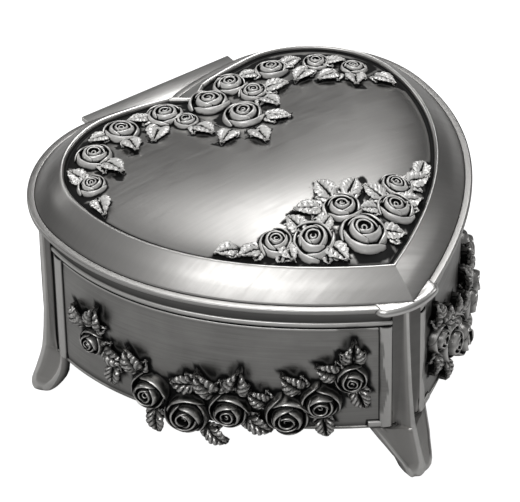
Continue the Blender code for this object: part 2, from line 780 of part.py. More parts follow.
def lid_frame(x, y, reach, turn, half_width=None):
    """A frame on the dome at x and y, lifted so that a piece of this reach and width clears the lid."""
    step = GAP
    slope_x = (dome_z(x + step, y) - dome_z(x - step, y)) / (2 * step)
    slope_y = (dome_z(x, y + step) - dome_z(x, y - step)) / (2 * step)
    up = Vector((-slope_x, -slope_y, 1.0)).normalized()
    base = Vector((x, y, dome_z(x, y)))
    lift = 0.0
    for i in range(8):
        angle = math.pi * i / 4
        ahead = reach * math.cos(angle)
        aside = (half_width or reach) * math.sin(angle)
        px = x + ahead * math.cos(turn) - aside * math.sin(turn)
        py = y + ahead * math.sin(turn) + aside * math.cos(turn)
        plane = base.z - (up.x * (px - x) + up.y * (py - y)) / up.z
        lift = max(lift, lid_cover_z(px, py) - plane)
    ahead = Vector((math.cos(turn), math.sin(turn), 0.0))
    ahead = (ahead - up * ahead.dot(up)).normalized()
    side = up.cross(ahead)
    place = base + up * GAP + Vector((0, 0, lift))
    return Matrix((
        (ahead.x, side.x, up.x, place.x),
        (ahead.y, side.y, up.y, place.y),
        (ahead.z, side.z, up.z, place.z),
        (0, 0, 0, 1),
    ))


def joined_relief(name, bodies, metal, parent):
    """One casting made of many overlapping bodies."""
    group = bpy.data.collections.new(name + "_bodies")
    bpy.data.collections[CUTTERS].children.link(group)
    obj = add(name, bodies[0], metal, parent, angle=38.0)
    for index, bm in enumerate(bodies[1:]):
        helper(f"{name}_{index}", bm, parent, group.name)
    mod = obj.modifiers.new("union", "BOOLEAN")
    mod.operation = "UNION"
    mod.operand_type = "COLLECTION"
    mod.collection = group
    return obj


def spray(name, roses, leaves, frame_at, metal, parent):
    """One casting of roses and leaves on a surface. frame_at gives a frame at two surface lengths.

    Each rose is tied to the nearest one before it, and each leaf grows out from inside the nearest rose or
    from a nearer leaf before it.
    """
    bodies = []
    sources = []
    for index, (a, b, share) in enumerate(roses):
        radius = share * ROSE_RADIUS
        frame = frame_at(a, b, radius, index * ROSE_TURN)
        bodies.append(loft(rose_rings(radius, frame, share < BUD_SHARE)))
        sources.append((a, b, radius * LEAF_ROOT_SHARE, 1.0, frame.translation, frame.col[2].to_3d()))
    for index, (a, b, share) in enumerate(roses[1:]):
        near = min(roses[:index + 1], key=lambda rose: math.hypot(rose[0] - a, rose[1] - b))
        turn = math.atan2(near[1] - b, near[0] - a)
        stops = [(a + (near[0] - a) * i / STEM_STEPS, b + (near[1] - b) * i / STEM_STEPS)
                 for i in range(STEM_STEPS + 1)]
        reaches = [share * ROSE_RADIUS] + [STEM_WIDTH / 2] * (STEM_STEPS - 1) + [near[2] * ROSE_RADIUS]
        frames = [frame_at(p, q, reach, turn) for (p, q), reach in zip(stops, reaches)]
        bodies.append(loft(stem_rings(frames)))
    for a, b, share in leaves:
        near = min(sources, key=lambda source: source[3] * math.hypot(source[0] - a, source[1] - b))
        away = math.hypot(a - near[0], b - near[1])
        along_a, along_b = (a - near[0]) / away, (b - near[1]) / away
        length = away + share * LEAF_LENGTH / 2 - near[2]
        middle = near[2] + length / 2
        frame = frame_at(near[0] + along_a * middle, near[1] + along_b * middle, length / 2,
                         math.atan2(along_b, along_a), share * LEAF_WIDTH / 2)
        up = frame.col[2].to_3d()
        ahead = frame.col[0].to_3d()
        rings = leaf_rings(length, share * LEAF_WIDTH, frame)
        bodies.append(loft([stalk_ring(near[4], near[5], ahead)] + rings[1:]))
        sources.append((a, b, 0.0, LEAF_SOURCE_WEIGHT, frame.translation + ahead * (away - middle), up))
    return joined_relief(name, bodies, metal, parent)


def lid_spray(name, roses, leaves, depth, metal, parent):
    """A spray of roses and leaves that follows the lid's dome. depth is the outline's reach on its side."""
    def scaled(rows):
        return [(x * HALF_WIDTH, y * depth, share) for x, y, share in rows]

    return spray(name, scaled(roses), scaled(leaves), lid_frame, metal, parent)


def wall_frame(distance, height, side, turn):
    """A frame on the wall's outside, its z axis pointing out and its x axis at a turn from the run."""
    place, normal = wall_station(distance, side, RELIEF_STANDOFF)
    run = Vector((0, 0, 1)).cross(normal) * side
    ahead = run * math.cos(turn) + Vector((0, 0, 1)) * math.sin(turn)
    across = normal.cross(ahead)
    return Matrix((
        (ahead.x, across.x, normal.x, place.x),
        (ahead.y, across.y, normal.y, place.y),
        (ahead.z, across.z, normal.z, height),
        (0, 0, 0, 1),
    ))


def garland(name, side, metal, parent):
    """A garland of roses and leaves on one front panel, hanging a little below the wall."""
    run = half_wall_length()

    def scaled(rows):
        return [(a * run, WALL_BOTTOM_Z + b * (RIM_Z - WALL_BOTTOM_Z), share) for a, b, share in rows]

    def frame_at(distance, height, reach, turn, half_width=None):
        return wall_frame(distance, height, side, turn)

    return spray(name, scaled(GARLAND_ROSE_SHARES), scaled(GARLAND_LEAF_SHARES), frame_at, metal, parent)


def feet(parent, metal):
    """Four feet: at the tip, at the two widest points and in the middle of the rear wall."""
    front_y = heart_half(WALL_INSET, "flat")[-1][1]
    head = RIM_Z - PILASTER_HEAD
    slope = math.tan(math.radians(TIP_SLOPE))
    foot("front_foot", parent, metal, Vector((0, front_y, 0)), (0, -1, 0), FRONT_REACH,
         lambda s: max(s - CORNER_HALF_WIDTH, 0.0) * slope, head - NOSE_DEPTH, 1)
    distance = side_foot_distance()
    ahead = wall_station(distance + PILASTER_HALF_WIDTH, 1)[0]
    middle, normal = wall_station(distance, 1)
    bend = -(ahead - middle).dot(normal) / PILASTER_HALF_WIDTH ** 2
    for name, side in (("right_foot", 1), ("left_foot", -1)):
        middle, normal = wall_station(distance, side)
        foot(name, parent, metal, middle, normal, SIDE_REACH, lambda s: bend * s * s, head, 2)
    foot("rear_foot", parent, metal, Vector((0, WALL_REAR_Y, 0)), (0, 1, 0), SIDE_REACH,
         lambda s: 0.0, REAR_PILASTER_TOP, 2)


def linings(parent, velvet, felt, steel):
    """Bottom plate on the ledge, felt below it, pad and lining strip above it."""
    straight = ("flat", "straight")
    inset = WALL_INNER + GAP
    plate = loft([heart_ring(inset, PLATE_Z, *straight),
                  heart_ring(inset, PLATE_Z + PLATE_THICKNESS, *straight)])
    add("bottom_plate", plate, steel, parent)
    felt_inset = WALL_INNER + LEDGE_WIDTH + GAP
    felt_top = PLATE_Z - GAP
    sheet = loft([heart_ring(felt_inset, felt_top - FELT_THICKNESS, *straight),
                  heart_ring(felt_inset, felt_top, *straight)])
    add("underside_felt", sheet, felt, parent)
    inner = inset + LINING_THICKNESS
    top = RIM_Z - LINING_DROP
    strip = loft([heart_ring(inset, FLOOR_PAD_Z, *straight), heart_ring(inset, top, *straight),
                  heart_ring(inner, top, *straight), heart_ring(inner, FLOOR_PAD_Z, *straight)], looped=True)
    add("wall_lining", strip, velvet, parent)
    edge = heart_ring(inner + GAP, FLOOR_PAD_Z + PAD_THICKNESS, *straight)
    crown = FLOOR_PAD_Z + PAD_THICKNESS + PAD_CROWN
    pad = [heart_ring(inner + GAP, FLOOR_PAD_Z, *straight), edge]
    pad += [shrink(edge, share, lambda x, y: crown) for share in CROWN_RING_SHARES]
    add("floor_pad", loft(pad), velvet, parent)


def lid_pad(parent, velvet):
    """Pad in the lid's hollow, crowned downwards."""
    inset = LIP_BAND + LID_WALL + LIP_THICKNESS + GAP
    low = LIP_UNDERSIDE_Z + GAP
    edge = heart_ring(inset + GAP, low)
    rings = [shrink(edge, share, lambda x, y: low - PAD_CROWN / 2) for share in reversed(CROWN_RING_SHARES)]
    rings += [edge, heart_ring(inset, low + GAP), heart_ring(inset, LIP_TOP_Z - GAP),
              heart_ring(inset + LID_PAD_THICKNESS, LIP_TOP_Z + LID_PAD_THICKNESS / 2)]
    return add("lid_lining_pad", loft(rings), velvet, parent)


def lathe_rivet(seat, end, head_height):
    """A rivet: a shank from its seat to its end, with a low domed head above the seat if it has one."""
    run = Vector(end) - Vector(seat)
    turn = run.to_track_quat("Z", "Y").to_matrix().to_4x4()
    place = Matrix.Translation(seat) @ turn
    profile = [(RIVET_RADIUS, run.length), (RIVET_RADIUS, 0.0)]
    if head_height:
        profile += [(RIVET_HEAD_RADIUS, 0.0), (RIVET_HEAD_RADIUS, -head_height * RIVET_HEAD_EDGE_SHARE),
                    (RIVET_HEAD_RADIUS * RIVET_HEAD_TOP_SHARE, -head_height)]
    angles = [2 * math.pi * i / RIVET_SIDES for i in range(RIVET_SIDES)]
    return loft([[place @ Vector((radius * math.cos(a), radius * math.sin(a), along)) for a in angles]
                 for radius, along in profile])


def hinge(base, lid, brass):
    """Two leaves, a pin through their knuckles, and the rivets that hold the leaves."""
    half = LEAF_HALF_WIDTH
    middle = MIDDLE_KNUCKLE / 2
    near_y = WALL_REAR_Y
    low = AXIS_Z - LEAF_DROP
    neck = AXIS_Z - KNUCKLE_RADIUS - GAP
    sheet = box((-half, near_y, low), (half, near_y + LEAF_THICKNESS, neck))
    leaf = add("body_hinge_leaf", sheet, brass, base)
    for index, side in enumerate((-1, 1)):
        inner = side * (middle + GAP)
        outer = side * half
        left, right = sorted((inner, outer))
        barrel = rod(KNUCKLE_RADIUS, (left, AXIS_Y, AXIS_Z), (right, AXIS_Y, AXIS_Z))
        tongue = box((left, near_y, neck - LEAF_THICKNESS), (right, AXIS_Y - KNUCKLE_RADIUS / 2, AXIS_Z))
        combine(leaf, helper(f"body_tongue_{index}", tongue, base), "UNION")
        combine(leaf, helper(f"body_barrel_{index}", barrel, base), "UNION")
    bore = rod(PIN_RADIUS + GAP, (-half - OVERRUN, AXIS_Y, AXIS_Z), (half + OVERRUN, AXIS_Y, AXIS_Z), 16)
    combine(leaf, helper("body_bore", bore, base), "DIFFERENCE")
    reach = Vector((0, LEAF_THICKNESS + OVERRUN, 0))
    for index, place in enumerate(leaf_rivet_places()):
        hole = rod(RIVET_RADIUS + GAP, place - reach, place + reach, RIVET_SIDES)
        combine(leaf, helper(f"leaf_rivet_hole_{index}", hole, base), "DIFFERENCE")
        seat = place + Vector((0, LEAF_THICKNESS + GAP + GAP, 0))
        rivet = lathe_rivet(seat, place - Vector((0, RIVET_DEPTH - GAP, 0)), RIVET_HEAD_HEIGHT)
        add("body_rivet_" + SIDE_NAMES[index], rivet, brass, base)
    top = LIP_UNDERSIDE_Z - GAP
    lid_leaf = box((-half, AXIS_Y - LID_LEAF_DEPTH / 2, top - LEAF_THICKNESS),
                   (half, AXIS_Y + LID_LEAF_DEPTH / 2, top))
    upper = add("lid_hinge_leaf", lid_leaf, brass, lid)
    neck_block = box((-middle, AXIS_Y - KNUCKLE_RADIUS, AXIS_Z),
                     (middle, AXIS_Y + KNUCKLE_RADIUS, top - LEAF_THICKNESS / 2))
    combine(upper, helper("lid_neck", neck_block, lid), "UNION")
    barrel = rod(KNUCKLE_RADIUS, (-middle, AXIS_Y, AXIS_Z), (middle, AXIS_Y, AXIS_Z))
    combine(upper, helper("lid_barrel", barrel, lid), "UNION")
    lid_bore = rod(PIN_RADIUS + GAP, (-half, AXIS_Y, AXIS_Z), (half, AXIS_Y, AXIS_Z), 16)
    combine(upper, helper("lid_bore", lid_bore, lid), "DIFFERENCE")
    for index, place in enumerate(lid_rivet_places()):
        reach = Vector((0, 0, LEAF_THICKNESS + GAP))
        over = Vector((0, 0, OVERRUN / 2))
        hole = rod(RIVET_RADIUS + GAP, place - reach - over, place + over, RIVET_SIDES)
        combine(upper, helper(f"lid_leaf_hole_{index}", hole, lid), "DIFFERENCE")
        peg = lathe_rivet(place - reach, place + Vector((0, 0, RIVET_DEPTH - GAP)), 0.0)
        add("lid_rivet_" + SIDE_NAMES[index], peg, brass, lid)
    tip = half + PIN_RADIUS
    add("hinge_pin", rod(PIN_RADIUS, (-tip, AXIS_Y, AXIS_Z), (tip, AXIS_Y, AXIS_Z), 16), brass, base)


def main():
    """Builds the whole box."""
    clear_scene()
    front_y = heart_half(WALL_INSET, "flat")[-1][1]
    heart_y = (-(front_y - FRONT_REACH) - (WALL_REAR_Y + SIDE_REACH)) / 2
    base = make_empty("base_frame", (0, heart_y, 0), (0, 0, 0))
    lid = make_empty("lid_hinge_axis", (0, heart_y + AXIS_Y, AXIS_Z), (0, AXIS_Y, AXIS_Z))
    pewter = material("antique_pewter", (0.42, 0.41, 0.40), 0.36, 1.0)
    relief = material("polished_relief", (0.60, 0.59, 0.58), 0.30, 1.0)
    velvet = material("dark_velvet", (0.02, 0.02, 0.03), 0.95, 0.0)
    felt = material("black_felt", (0.03, 0.03, 0.03), 0.95, 0.0)
    steel = material("bottom_steel", (0.45, 0.45, 0.45), 0.45, 1.0)
    brass = material("hinge_metal", (0.50, 0.48, 0.45), 0.35, 1.0)
    box_wall(base, pewter)
    feet(base, pewter)
    linings(base, velvet, felt, steel)
    garland("right_garland", 1, relief, base)
    garland("left_garland", -1, relief, base)
    lid_shell(lid, pewter)
    lid_spray("lid_front_spray", FRONT_ROSE_SHARES, FRONT_LEAF_SHARES, TIP_REACH, relief, lid)
    lid_spray("lid_rear_spray", REAR_ROSE_SHARES, REAR_LEAF_SHARES, LOBE_REAR_Y, relief, lid)
    lid_pad(lid, velvet)
    hinge(base, lid, brass)


main()
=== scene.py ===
"""Finish of a heart-shaped footed jewelry box: antiqued pewter casting, rose sprays, velvet and hinge.

Lengths are in millimetres and angles in degrees, unless a name says otherwise. The heart's own plan is
centred between its lobes, and HeartOutline.shift carries it to the frame's origin.
"""
from __future__ import annotations

import logging
import math
from collections.abc import Callable, Iterator, Sequence
from dataclasses import dataclass
from enum import Enum
from functools import partial

import bmesh
import bpy
import numpy as np
from bpy.types import Material, Node, NodeSocket, NodeTree, Object
from mathutils import Matrix, Vector
from mathutils.bvhtree import BVHTree

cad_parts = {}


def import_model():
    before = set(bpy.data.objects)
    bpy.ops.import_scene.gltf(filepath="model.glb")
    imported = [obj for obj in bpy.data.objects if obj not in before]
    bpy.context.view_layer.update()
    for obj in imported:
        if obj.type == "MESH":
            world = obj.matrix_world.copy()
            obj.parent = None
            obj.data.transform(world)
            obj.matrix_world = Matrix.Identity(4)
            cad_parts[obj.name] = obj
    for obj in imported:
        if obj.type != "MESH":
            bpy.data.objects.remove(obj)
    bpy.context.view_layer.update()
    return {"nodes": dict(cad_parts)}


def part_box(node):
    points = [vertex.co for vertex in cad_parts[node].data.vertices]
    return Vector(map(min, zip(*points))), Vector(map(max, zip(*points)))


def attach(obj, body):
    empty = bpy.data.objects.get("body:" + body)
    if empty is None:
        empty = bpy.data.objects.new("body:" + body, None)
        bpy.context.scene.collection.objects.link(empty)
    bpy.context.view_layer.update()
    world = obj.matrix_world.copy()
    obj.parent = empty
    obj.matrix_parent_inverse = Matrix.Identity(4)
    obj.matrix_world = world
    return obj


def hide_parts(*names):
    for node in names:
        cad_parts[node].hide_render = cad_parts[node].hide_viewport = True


LOG = logging.getLogger("heart_box")
MM = 0.001
# Vertex attribute of the antiquing, rubbed bright below 0 and patinated dark above, with painted shade added to it.
ANTIQUE_AND_SHADE = "antique"
WELD = 0.000001
GRAIN_DEPTH = 0.0002
STREAK_SCALE = 60.0
MASK_SPAN = (0.08, 0.92)
POLISH_SPAN = (-0.04, -0.45)
SHARP_ANGLE = 34.0
WHITE = (1.0, 1.0, 1.0, 1.0)
PANEL_INSET = 11.2
RIDGE_Z = 63.4
WALL_INSET = 2.8
RIM_Z = 54.8
SIDE_WALL_FALL = 0.0095


class TipShape(Enum):
    """How an outline ends at the heart's tip."""

    MITRE = "mitre"
    FLAT = "flat"
    NOSE = "nose"


class RearShape(Enum):
    """How an outline runs between the two lobes."""

    CLEFT = "cleft"
    STRAIGHT = "straight"


class Side(Enum):
    """A side of the box, as the sign of its X."""

    LEFT = -1
    RIGHT = 1


@dataclass(frozen=True)
class HeartOutline:
    """The plan of the lid's lip as three cubic curves a half, and its even insets."""

    cleft_y: float = 47.3
    cleft_slope: float = 37.7
    cleft_handle: float = 4.2
    lobe_x: float = 24.5
    lobe_rear_y: float = 51.7
    lobe_handle_in: float = 5.1
    lobe_handle_out: float = 16.3
    half_width: float = 60.0
    widest_y: float = 15.3
    side_handle_rear: float = 21.5
    side_handle_front: float = 38.2
    tip_reach: float = 64.2
    tip_slope: float = 27.9
    tip_handle: float = 33.0
    corner_half_width: float = 4.8
    nose_reach: float = 62.3
    nose_radius: float = 18.0
    nose_half_width: float = 9.0
    nose_set_in: float = 0.3
    shift: float = 5.7213
    rear_samples: int = 121
    rear_steps: int = 24
    lobe_steps: int = 68
    side_steps: int = 88
    stop_samples: int = 4001

    def curves(self) -> tuple[np.ndarray, np.ndarray, np.ndarray]:
        """The control points of the three curves, from the cleft round the lobe to the tip."""
        leave, arrive = math.radians(self.cleft_slope), math.radians(self.tip_slope)
        cleft = np.array([0.0, self.cleft_y])
        rear = np.array([self.lobe_x, self.lobe_rear_y])
        widest = np.array([self.half_width, self.widest_y])
        tip = np.array([0.0, -self.tip_reach])
        return (
            np.array([cleft, cleft + self.cleft_handle * np.array([math.cos(leave), math.sin(leave)]),
                      rear - [self.lobe_handle_in, 0.0], rear]),
            np.array([rear, rear + [self.lobe_handle_out, 0.0], widest + [0.0, self.side_handle_rear], widest]),
            np.array([widest, widest - [0.0, self.side_handle_front],
                      tip + self.tip_handle * np.array([math.cos(arrive), math.sin(arrive)]), tip]),
        )

    @staticmethod
    def along(curve: np.ndarray, t: np.ndarray, inset: float) -> np.ndarray:
        """Points of one curve at t, moved in from it.

        Args:
            curve: Four control points.
            t: Places from 0 to 1.
            inset: Distance moved towards the heart's middle.

        Returns:
            One x and y a row.
        """
        a, b, c, d = curve
        t = np.asarray(t, float)[:, None]
        s = 1 - t
        point = s ** 3 * a + 3 * s * s * t * b + 3 * s * t * t * c + t ** 3 * d
        run = s * s * (b - a) + 2 * s * t * (c - b) + t * t * (d - c)
        run /= np.hypot(run[:, :1], run[:, 1:])
        return point - inset * np.stack([-run[:, 1], run[:, 0]], 1)

    def nose(self, x: np.ndarray) -> np.ndarray:
        """Where the blunt nose of the tip lies at x."""
        return -self.nose_reach + x ** 2 / (2 * self.nose_radius)

    def half(self, inset: float, tip: TipShape = TipShape.MITRE, rear: RearShape = RearShape.CLEFT) -> np.ndarray:
        """One half of an inset outline, from the middle of the rear to the tip.

        Args:
            inset: Distance in from the lip.
            tip: How it ends at the tip.
            rear: How it runs between the lobes.

        Returns:
            One x and y a row, always the same number of rows.
        """
        first, second, third = self.curves()
        if rear is RearShape.CLEFT:
            start = self.along(first, np.linspace(0, 1, self.rear_samples), inset)
            run = (first[1] - first[0]) / np.hypot(*(first[1] - first[0]))
            start = np.concatenate([[start[0] - run * (start[0, 0] / run[0])], start])
            length = np.concatenate([[0.0], np.cumsum(np.hypot(*np.diff(start, axis=0).T))])
            even = np.linspace(0, length[-1], self.rear_steps + 1)
            start = np.column_stack([np.interp(even, length, start[:, k]) for k in (0, 1)])
        else:
            top = self.along(first, np.array([1.0]), inset)[0]
            start = np.stack([np.linspace(0, top[0], self.rear_steps + 1), np.full(self.rear_steps + 1, top[1])], 1)
        lobe = self.along(second, np.linspace(0, 1, self.lobe_steps + 1)[1:], inset)
        fine = np.linspace(0.5, 1.0, self.stop_samples)
        reach = self.along(third, fine, inset)[:, 0]
        stop = self.corner_half_width if tip is TipShape.FLAT else 0.0
        last = float(np.interp(-stop, -reach, fine))
        side = self.along(third, last * np.linspace(0, 1, self.side_steps + 1)[1:], inset)
        end = np.array([[0.0, side[-1, 1]]])
        points = np.concatenate([start, lobe, side, end] if tip is TipShape.FLAT else [start, lobe, side])
        points[-1, 0] = 0.0
        if tip is TipShape.NOSE:
            near = points[:, 0] < self.nose_half_width
            nose = self.nose(points[near, 0]) + min(inset, self.nose_set_in)
            points[near, 1] = np.maximum(points[near, 1], nose)
        return points

    def ring(self, inset: float, z: float, tip: TipShape = TipShape.MITRE,
             rear: RearShape = RearShape.CLEFT) -> np.ndarray:
        """The whole outline at an inset and height, as one closed ring of x, y and z."""
        half = self.half(inset, tip, rear)
        flat = np.concatenate([half, (half * [-1, 1])[-2:0:-1]])
        return np.column_stack([flat, np.full(len(flat), z)])


HEART = HeartOutline()


def lip_ring(inset: float, z: float) -> np.ndarray:
    """A ring of the lid, whose tip is blunt."""
    return HEART.ring(inset, z, TipShape.NOSE)


def wall_ring(inset: float, z: float) -> np.ndarray:
    """A ring of the wall, with a flat tip and a straight rear."""
    return HEART.ring(inset, z, TipShape.FLAT, RearShape.STRAIGHT)


@dataclass(frozen=True)
class Station:
    """A corner of a swept profile: its place, its rounding and how dark its antiquing and painted shade are."""

    inset: float
    height: float
    radius: float = 0.0
    antique: float = 0.0


def rounded(stations: Sequence[Station], steps: int = 3, longest: float = 1.7, most: float = 0.45) -> list[Station]:
    """Rounds the corners of a profile and divides its long spans.

    Args:
        stations: The corners in order.
        steps: Divisions of each rounded corner.
        longest: Longest span that is left undivided.
        most: Share of a span that a rounding may take.

    Returns:
        The stations of the finished profile.
    """
    out: list[Station] = []
    for index, here in enumerate(stations):
        inner = 0 < index < len(stations) - 1
        if not inner or here.radius <= 0:
            out.append(here)
            continue
        place = np.array([here.inset, here.height])
        ends = []
        for other in (stations[index - 1], stations[index + 1]):
            run = np.array([other.inset, other.height]) - place
            length = float(np.hypot(*run))
            ends.append(place + run / length * min(here.radius, most * length))
        for i in range(steps + 1):
            t = i / steps
            p = (1 - t) ** 2 * ends[0] + 2 * t * (1 - t) * place + t * t * ends[1]
            out.append(Station(float(p[0]), float(p[1]), 0.0, here.antique))
    filled = [out[0]]
    for last, this in zip(out[:-1], out[1:]):
        parts = max(1, math.ceil(math.hypot(this.inset - last.inset, this.height - last.height) / longest))
        for i in range(1, parts + 1):
            t = i / parts
            filled.append(Station(last.inset + (this.inset - last.inset) * t,
                                  last.height + (this.height - last.height) * t, 0.0,
                                  last.antique + (this.antique - last.antique) * t))
    return filled


def deselect_all() -> None:
    """Leaves object mode with nothing selected."""
    if bpy.context.object and bpy.context.object.mode != "OBJECT":
        bpy.ops.object.mode_set(mode="OBJECT")
    bpy.ops.object.select_all(action="DESELECT")


def activate(obj: Object) -> None:
    """Makes one object the only selected and the active one."""
    deselect_all()
    obj.select_set(True)
    bpy.context.view_layer.objects.active = obj


def apply_modifiers(obj: Object) -> None:
    """Applies every modifier of an object in order."""
    activate(obj)
    for modifier in list(obj.modifiers):
        bpy.ops.object.modifier_apply(modifier=modifier.name)


def shade(obj: Object, angle: float = SHARP_ANGLE) -> None:
    """Shades an object smooth, with edges above an angle kept sharp."""
    activate(obj)
    bpy.ops.object.shade_smooth_by_angle(angle=math.radians(angle))


def join(name: str, pieces: Sequence[Object]) -> Object:
    """Joins several objects into the first and names it."""
    activate(pieces[0])
    for piece in pieces[1:]:
        piece.select_set(True)
    bpy.ops.object.join()
    pieces[0].name = name
    pieces[0].data.name = name
    return pieces[0]


def points_of(obj: Object) -> np.ndarray:
    """The vertex places of a mesh, one a row."""
    co = np.zeros(len(obj.data.vertices) * 3)
    obj.data.vertices.foreach_get("co", co)
    return co.reshape(-1, 3)


def set_points(obj: Object, points: np.ndarray) -> None:
    """Moves the vertices of a mesh."""
    obj.data.vertices.foreach_set("co", np.ascontiguousarray(points, float).ravel())
    obj.data.update()


def set_plan_points(obj: Object, points: np.ndarray) -> None:
    """Moves the vertices of a mesh to places in the heart's plan, in millimetres."""
    set_points(obj, (points + [0, HEART.shift, 0]) * MM)


def set_antique_and_shade(obj: Object, values: np.ndarray) -> None:
    """Writes how dark the antiquing and painted shade are on each vertex."""
    attribute = obj.data.attributes.get(ANTIQUE_AND_SHADE) or obj.data.attributes.new(ANTIQUE_AND_SHADE, "FLOAT", "POINT")
    attribute.data.foreach_set("value", np.ascontiguousarray(values, np.float32))


def antique_and_shade_of(obj: Object) -> np.ndarray:
    """How dark the antiquing and painted shade are on each vertex, 0 where none was written."""
    values = np.zeros(len(obj.data.vertices), np.float32)
    attribute = obj.data.attributes.get(ANTIQUE_AND_SHADE)
    if attribute:
        attribute.data.foreach_get("value", values)
    return values


def edit(obj: Object, *steps: Callable[[], object]) -> None:
    """Runs operators in edit mode on the whole of a mesh."""
    activate(obj)
    bpy.ops.object.mode_set(mode="EDIT")
    bpy.ops.mesh.select_all(action="SELECT")
    for step in steps:
        step()
    bpy.ops.object.mode_set(mode="OBJECT")


def face_outwards() -> None:
    """Turns the selected faces outwards."""
    bpy.ops.mesh.normals_make_consistent(inside=False)


def add_grid(divisions: tuple[int, int]) -> tuple[Object, np.ndarray]:
    """Adds a flat grid from -1 to 1, and gives it with its vertex places."""
    deselect_all()
    bpy.ops.mesh.primitive_grid_add(x_subdivisions=divisions[0], y_subdivisions=divisions[1], size=2.0)
    obj = bpy.context.object
    return obj, points_of(obj)


def thicken(obj: Object, thickness: float, offset: float) -> None:
    """Gives a sheet its thickness."""
    solid = obj.modifiers.new("thickness", "SOLIDIFY")
    solid.thickness = thickness
    solid.offset = offset
    apply_modifiers(obj)


def surface_tree(pieces: Sequence[Object]) -> BVHTree:
    """One search tree over the faces of several pieces."""
    verts: list[Vector] = []
    faces: list[list[int]] = []
    for piece in pieces:
        base = len(verts)
        verts += [v.co.copy() for v in piece.data.vertices]
        faces += [[base + i for i in face.vertices] for face in piece.data.polygons]
    return BVHTree.FromPolygons(verts, faces)


@dataclass(frozen=True)
class Crevices:
    """Patina and painted shade that settle in the hollows: how shut in each vertex is by the metal round it."""

    reach: float = 3.2
    rings: tuple[tuple[float, int], ...] = ((0.28, 3), (0.72, 5))
    start: float = 0.02
    far_share: float = 0.5
    strength: float = 1.9
    free: float = 0.28

    def directions(self) -> list[Vector]:
        """Directions spread over the upper half space, in a vertex's own axes."""
        out = [Vector((0, 0, 1))]
        for share, count in self.rings:
            for i in range(count):
                turn = 2 * math.pi * (i + share) / count
                flat = math.sqrt(share)
                out.append(Vector((flat * math.cos(turn), flat * math.sin(turn), math.sqrt(1 - share))))
        return out

    def bake(self, pieces: Sequence[Object]) -> None:
        """Adds the patina and painted shade of the hollows to the pieces of one body, which shade each other."""
        tree = surface_tree(pieces)
        rays = self.directions()
        reach, start = self.reach * MM, self.start * MM
        for piece in pieces:
            shut = np.zeros(len(piece.data.vertices))
            for index, vert in enumerate(piece.data.vertices):
                turn = vert.normal.to_track_quat("Z", "Y").to_matrix()
                origin = vert.co + vert.normal * start
                hits = 0.0
                for ray in rays:
                    distance = tree.ray_cast(origin, turn @ ray, reach)[3]
                    if distance is not None:
                        hits += 1.0 - self.far_share * distance / reach
                shut[index] = hits / len(rays)
            # The more shut in a vertex is, the darker it is painted: painted shade, with patina.
            added = self.strength * np.clip((shut - self.free) / (1 - self.free), 0, 1)
            set_antique_and_shade(piece, antique_and_shade_of(piece) + added)


@dataclass(frozen=True)
class Halo:
    """Black patina and painted shade left on a casting round the relief that lies on it."""

    limit: float = 4.5
    soft: float = 0.8

    def bake(self, shell: Object, relief: Sequence[Object],
             reach: Callable[[np.ndarray, np.ndarray], np.ndarray]) -> None:
        """Adds the patina and painted shade.

        Args:
            shell: The casting that carries the relief.
            relief: The pieces that lie on it.
            reach: Width of the patina and painted shade at places whose nearest relief is at the second places,
            all in millimetres in the heart's plan.
        """
        tree = surface_tree(relief)
        index, near, gap = [], [], []
        for vert in shell.data.vertices:
            place, _, _, distance = tree.find_nearest(vert.co, self.limit * MM)
            if place is not None:
                index.append(vert.index)
                near.append(tuple(place))
                gap.append(distance / MM)
        if not index:
            return
        here = points_of(shell)[index] / MM - [0, HEART.shift, 0]
        there = np.array(near) / MM - [0, HEART.shift, 0]
        width = reach(here, there)
        dark = np.clip((width + self.soft - np.array(gap)) / self.soft, 0, 1) * (width > 0)
        old = antique_and_shade_of(shell)
        old[index] = np.where(width > 0, np.maximum(old[index], dark), old[index])
        set_antique_and_shade(shell, old)


def sweep(name: str, rings: Sequence[tuple[np.ndarray, float | np.ndarray]], filled: bool = True,
          capped: bool = False, welded: bool = False, angle: float = SHARP_ANGLE) -> Object:
    """Grows a mesh from a circle by extruding it ring by ring, as a turned or swept body is drawn up.

    Args:
        name: The object's name.
        rings: Each ring's points, in millimetres in the heart's plan, and how dark its antiquing and painted shade
            are.
        filled: Whether it starts as a disc.
        capped: Whether the last ring is filled.
        welded: Whether the last ring lies on the first and is merged with it.
        angle: Edges sharper than this stay sharp.

    Returns:
        The finished object.
    """
    deselect_all()
    bpy.ops.mesh.primitive_circle_add(vertices=len(rings[0][0]), radius=0.05,
                                      fill_type="NGON" if filled else "NOTHING")
    obj = bpy.context.object
    obj.name = name
    bpy.ops.object.mode_set(mode="EDIT")
    mesh = bmesh.from_edit_mesh(obj.data)
    mesh.verts.layers.float.new(ANTIQUE_AND_SHADE)
    order = mesh.verts.layers.int.new("order")
    for index, vert in enumerate(mesh.verts):
        vert[order] = index
    for number, (points, antique) in enumerate(rings):
        if number:
            bpy.ops.mesh.extrude_region_move(TRANSFORM_OT_translate={"value": (0, 0, 0)})
        mesh = bmesh.from_edit_mesh(obj.data)
        order, dark = mesh.verts.layers.int["order"], mesh.verts.layers.float[ANTIQUE_AND_SHADE]
        values = np.broadcast_to(antique, len(points))
        for vert in mesh.verts:
            if vert.select:
                x, y, z = points[vert[order]]
                vert.co = (x * MM, (y + HEART.shift) * MM, z * MM)
                vert[dark] = float(values[vert[order]])
        bmesh.update_edit_mesh(obj.data)
    if capped:
        bpy.ops.mesh.edge_face_add()
    bpy.ops.mesh.select_all(action="SELECT")
    if welded:
        bpy.ops.mesh.remove_doubles(threshold=WELD)
    face_outwards()
    bpy.ops.object.mode_set(mode="OBJECT")
    shade(obj, angle)
    return obj


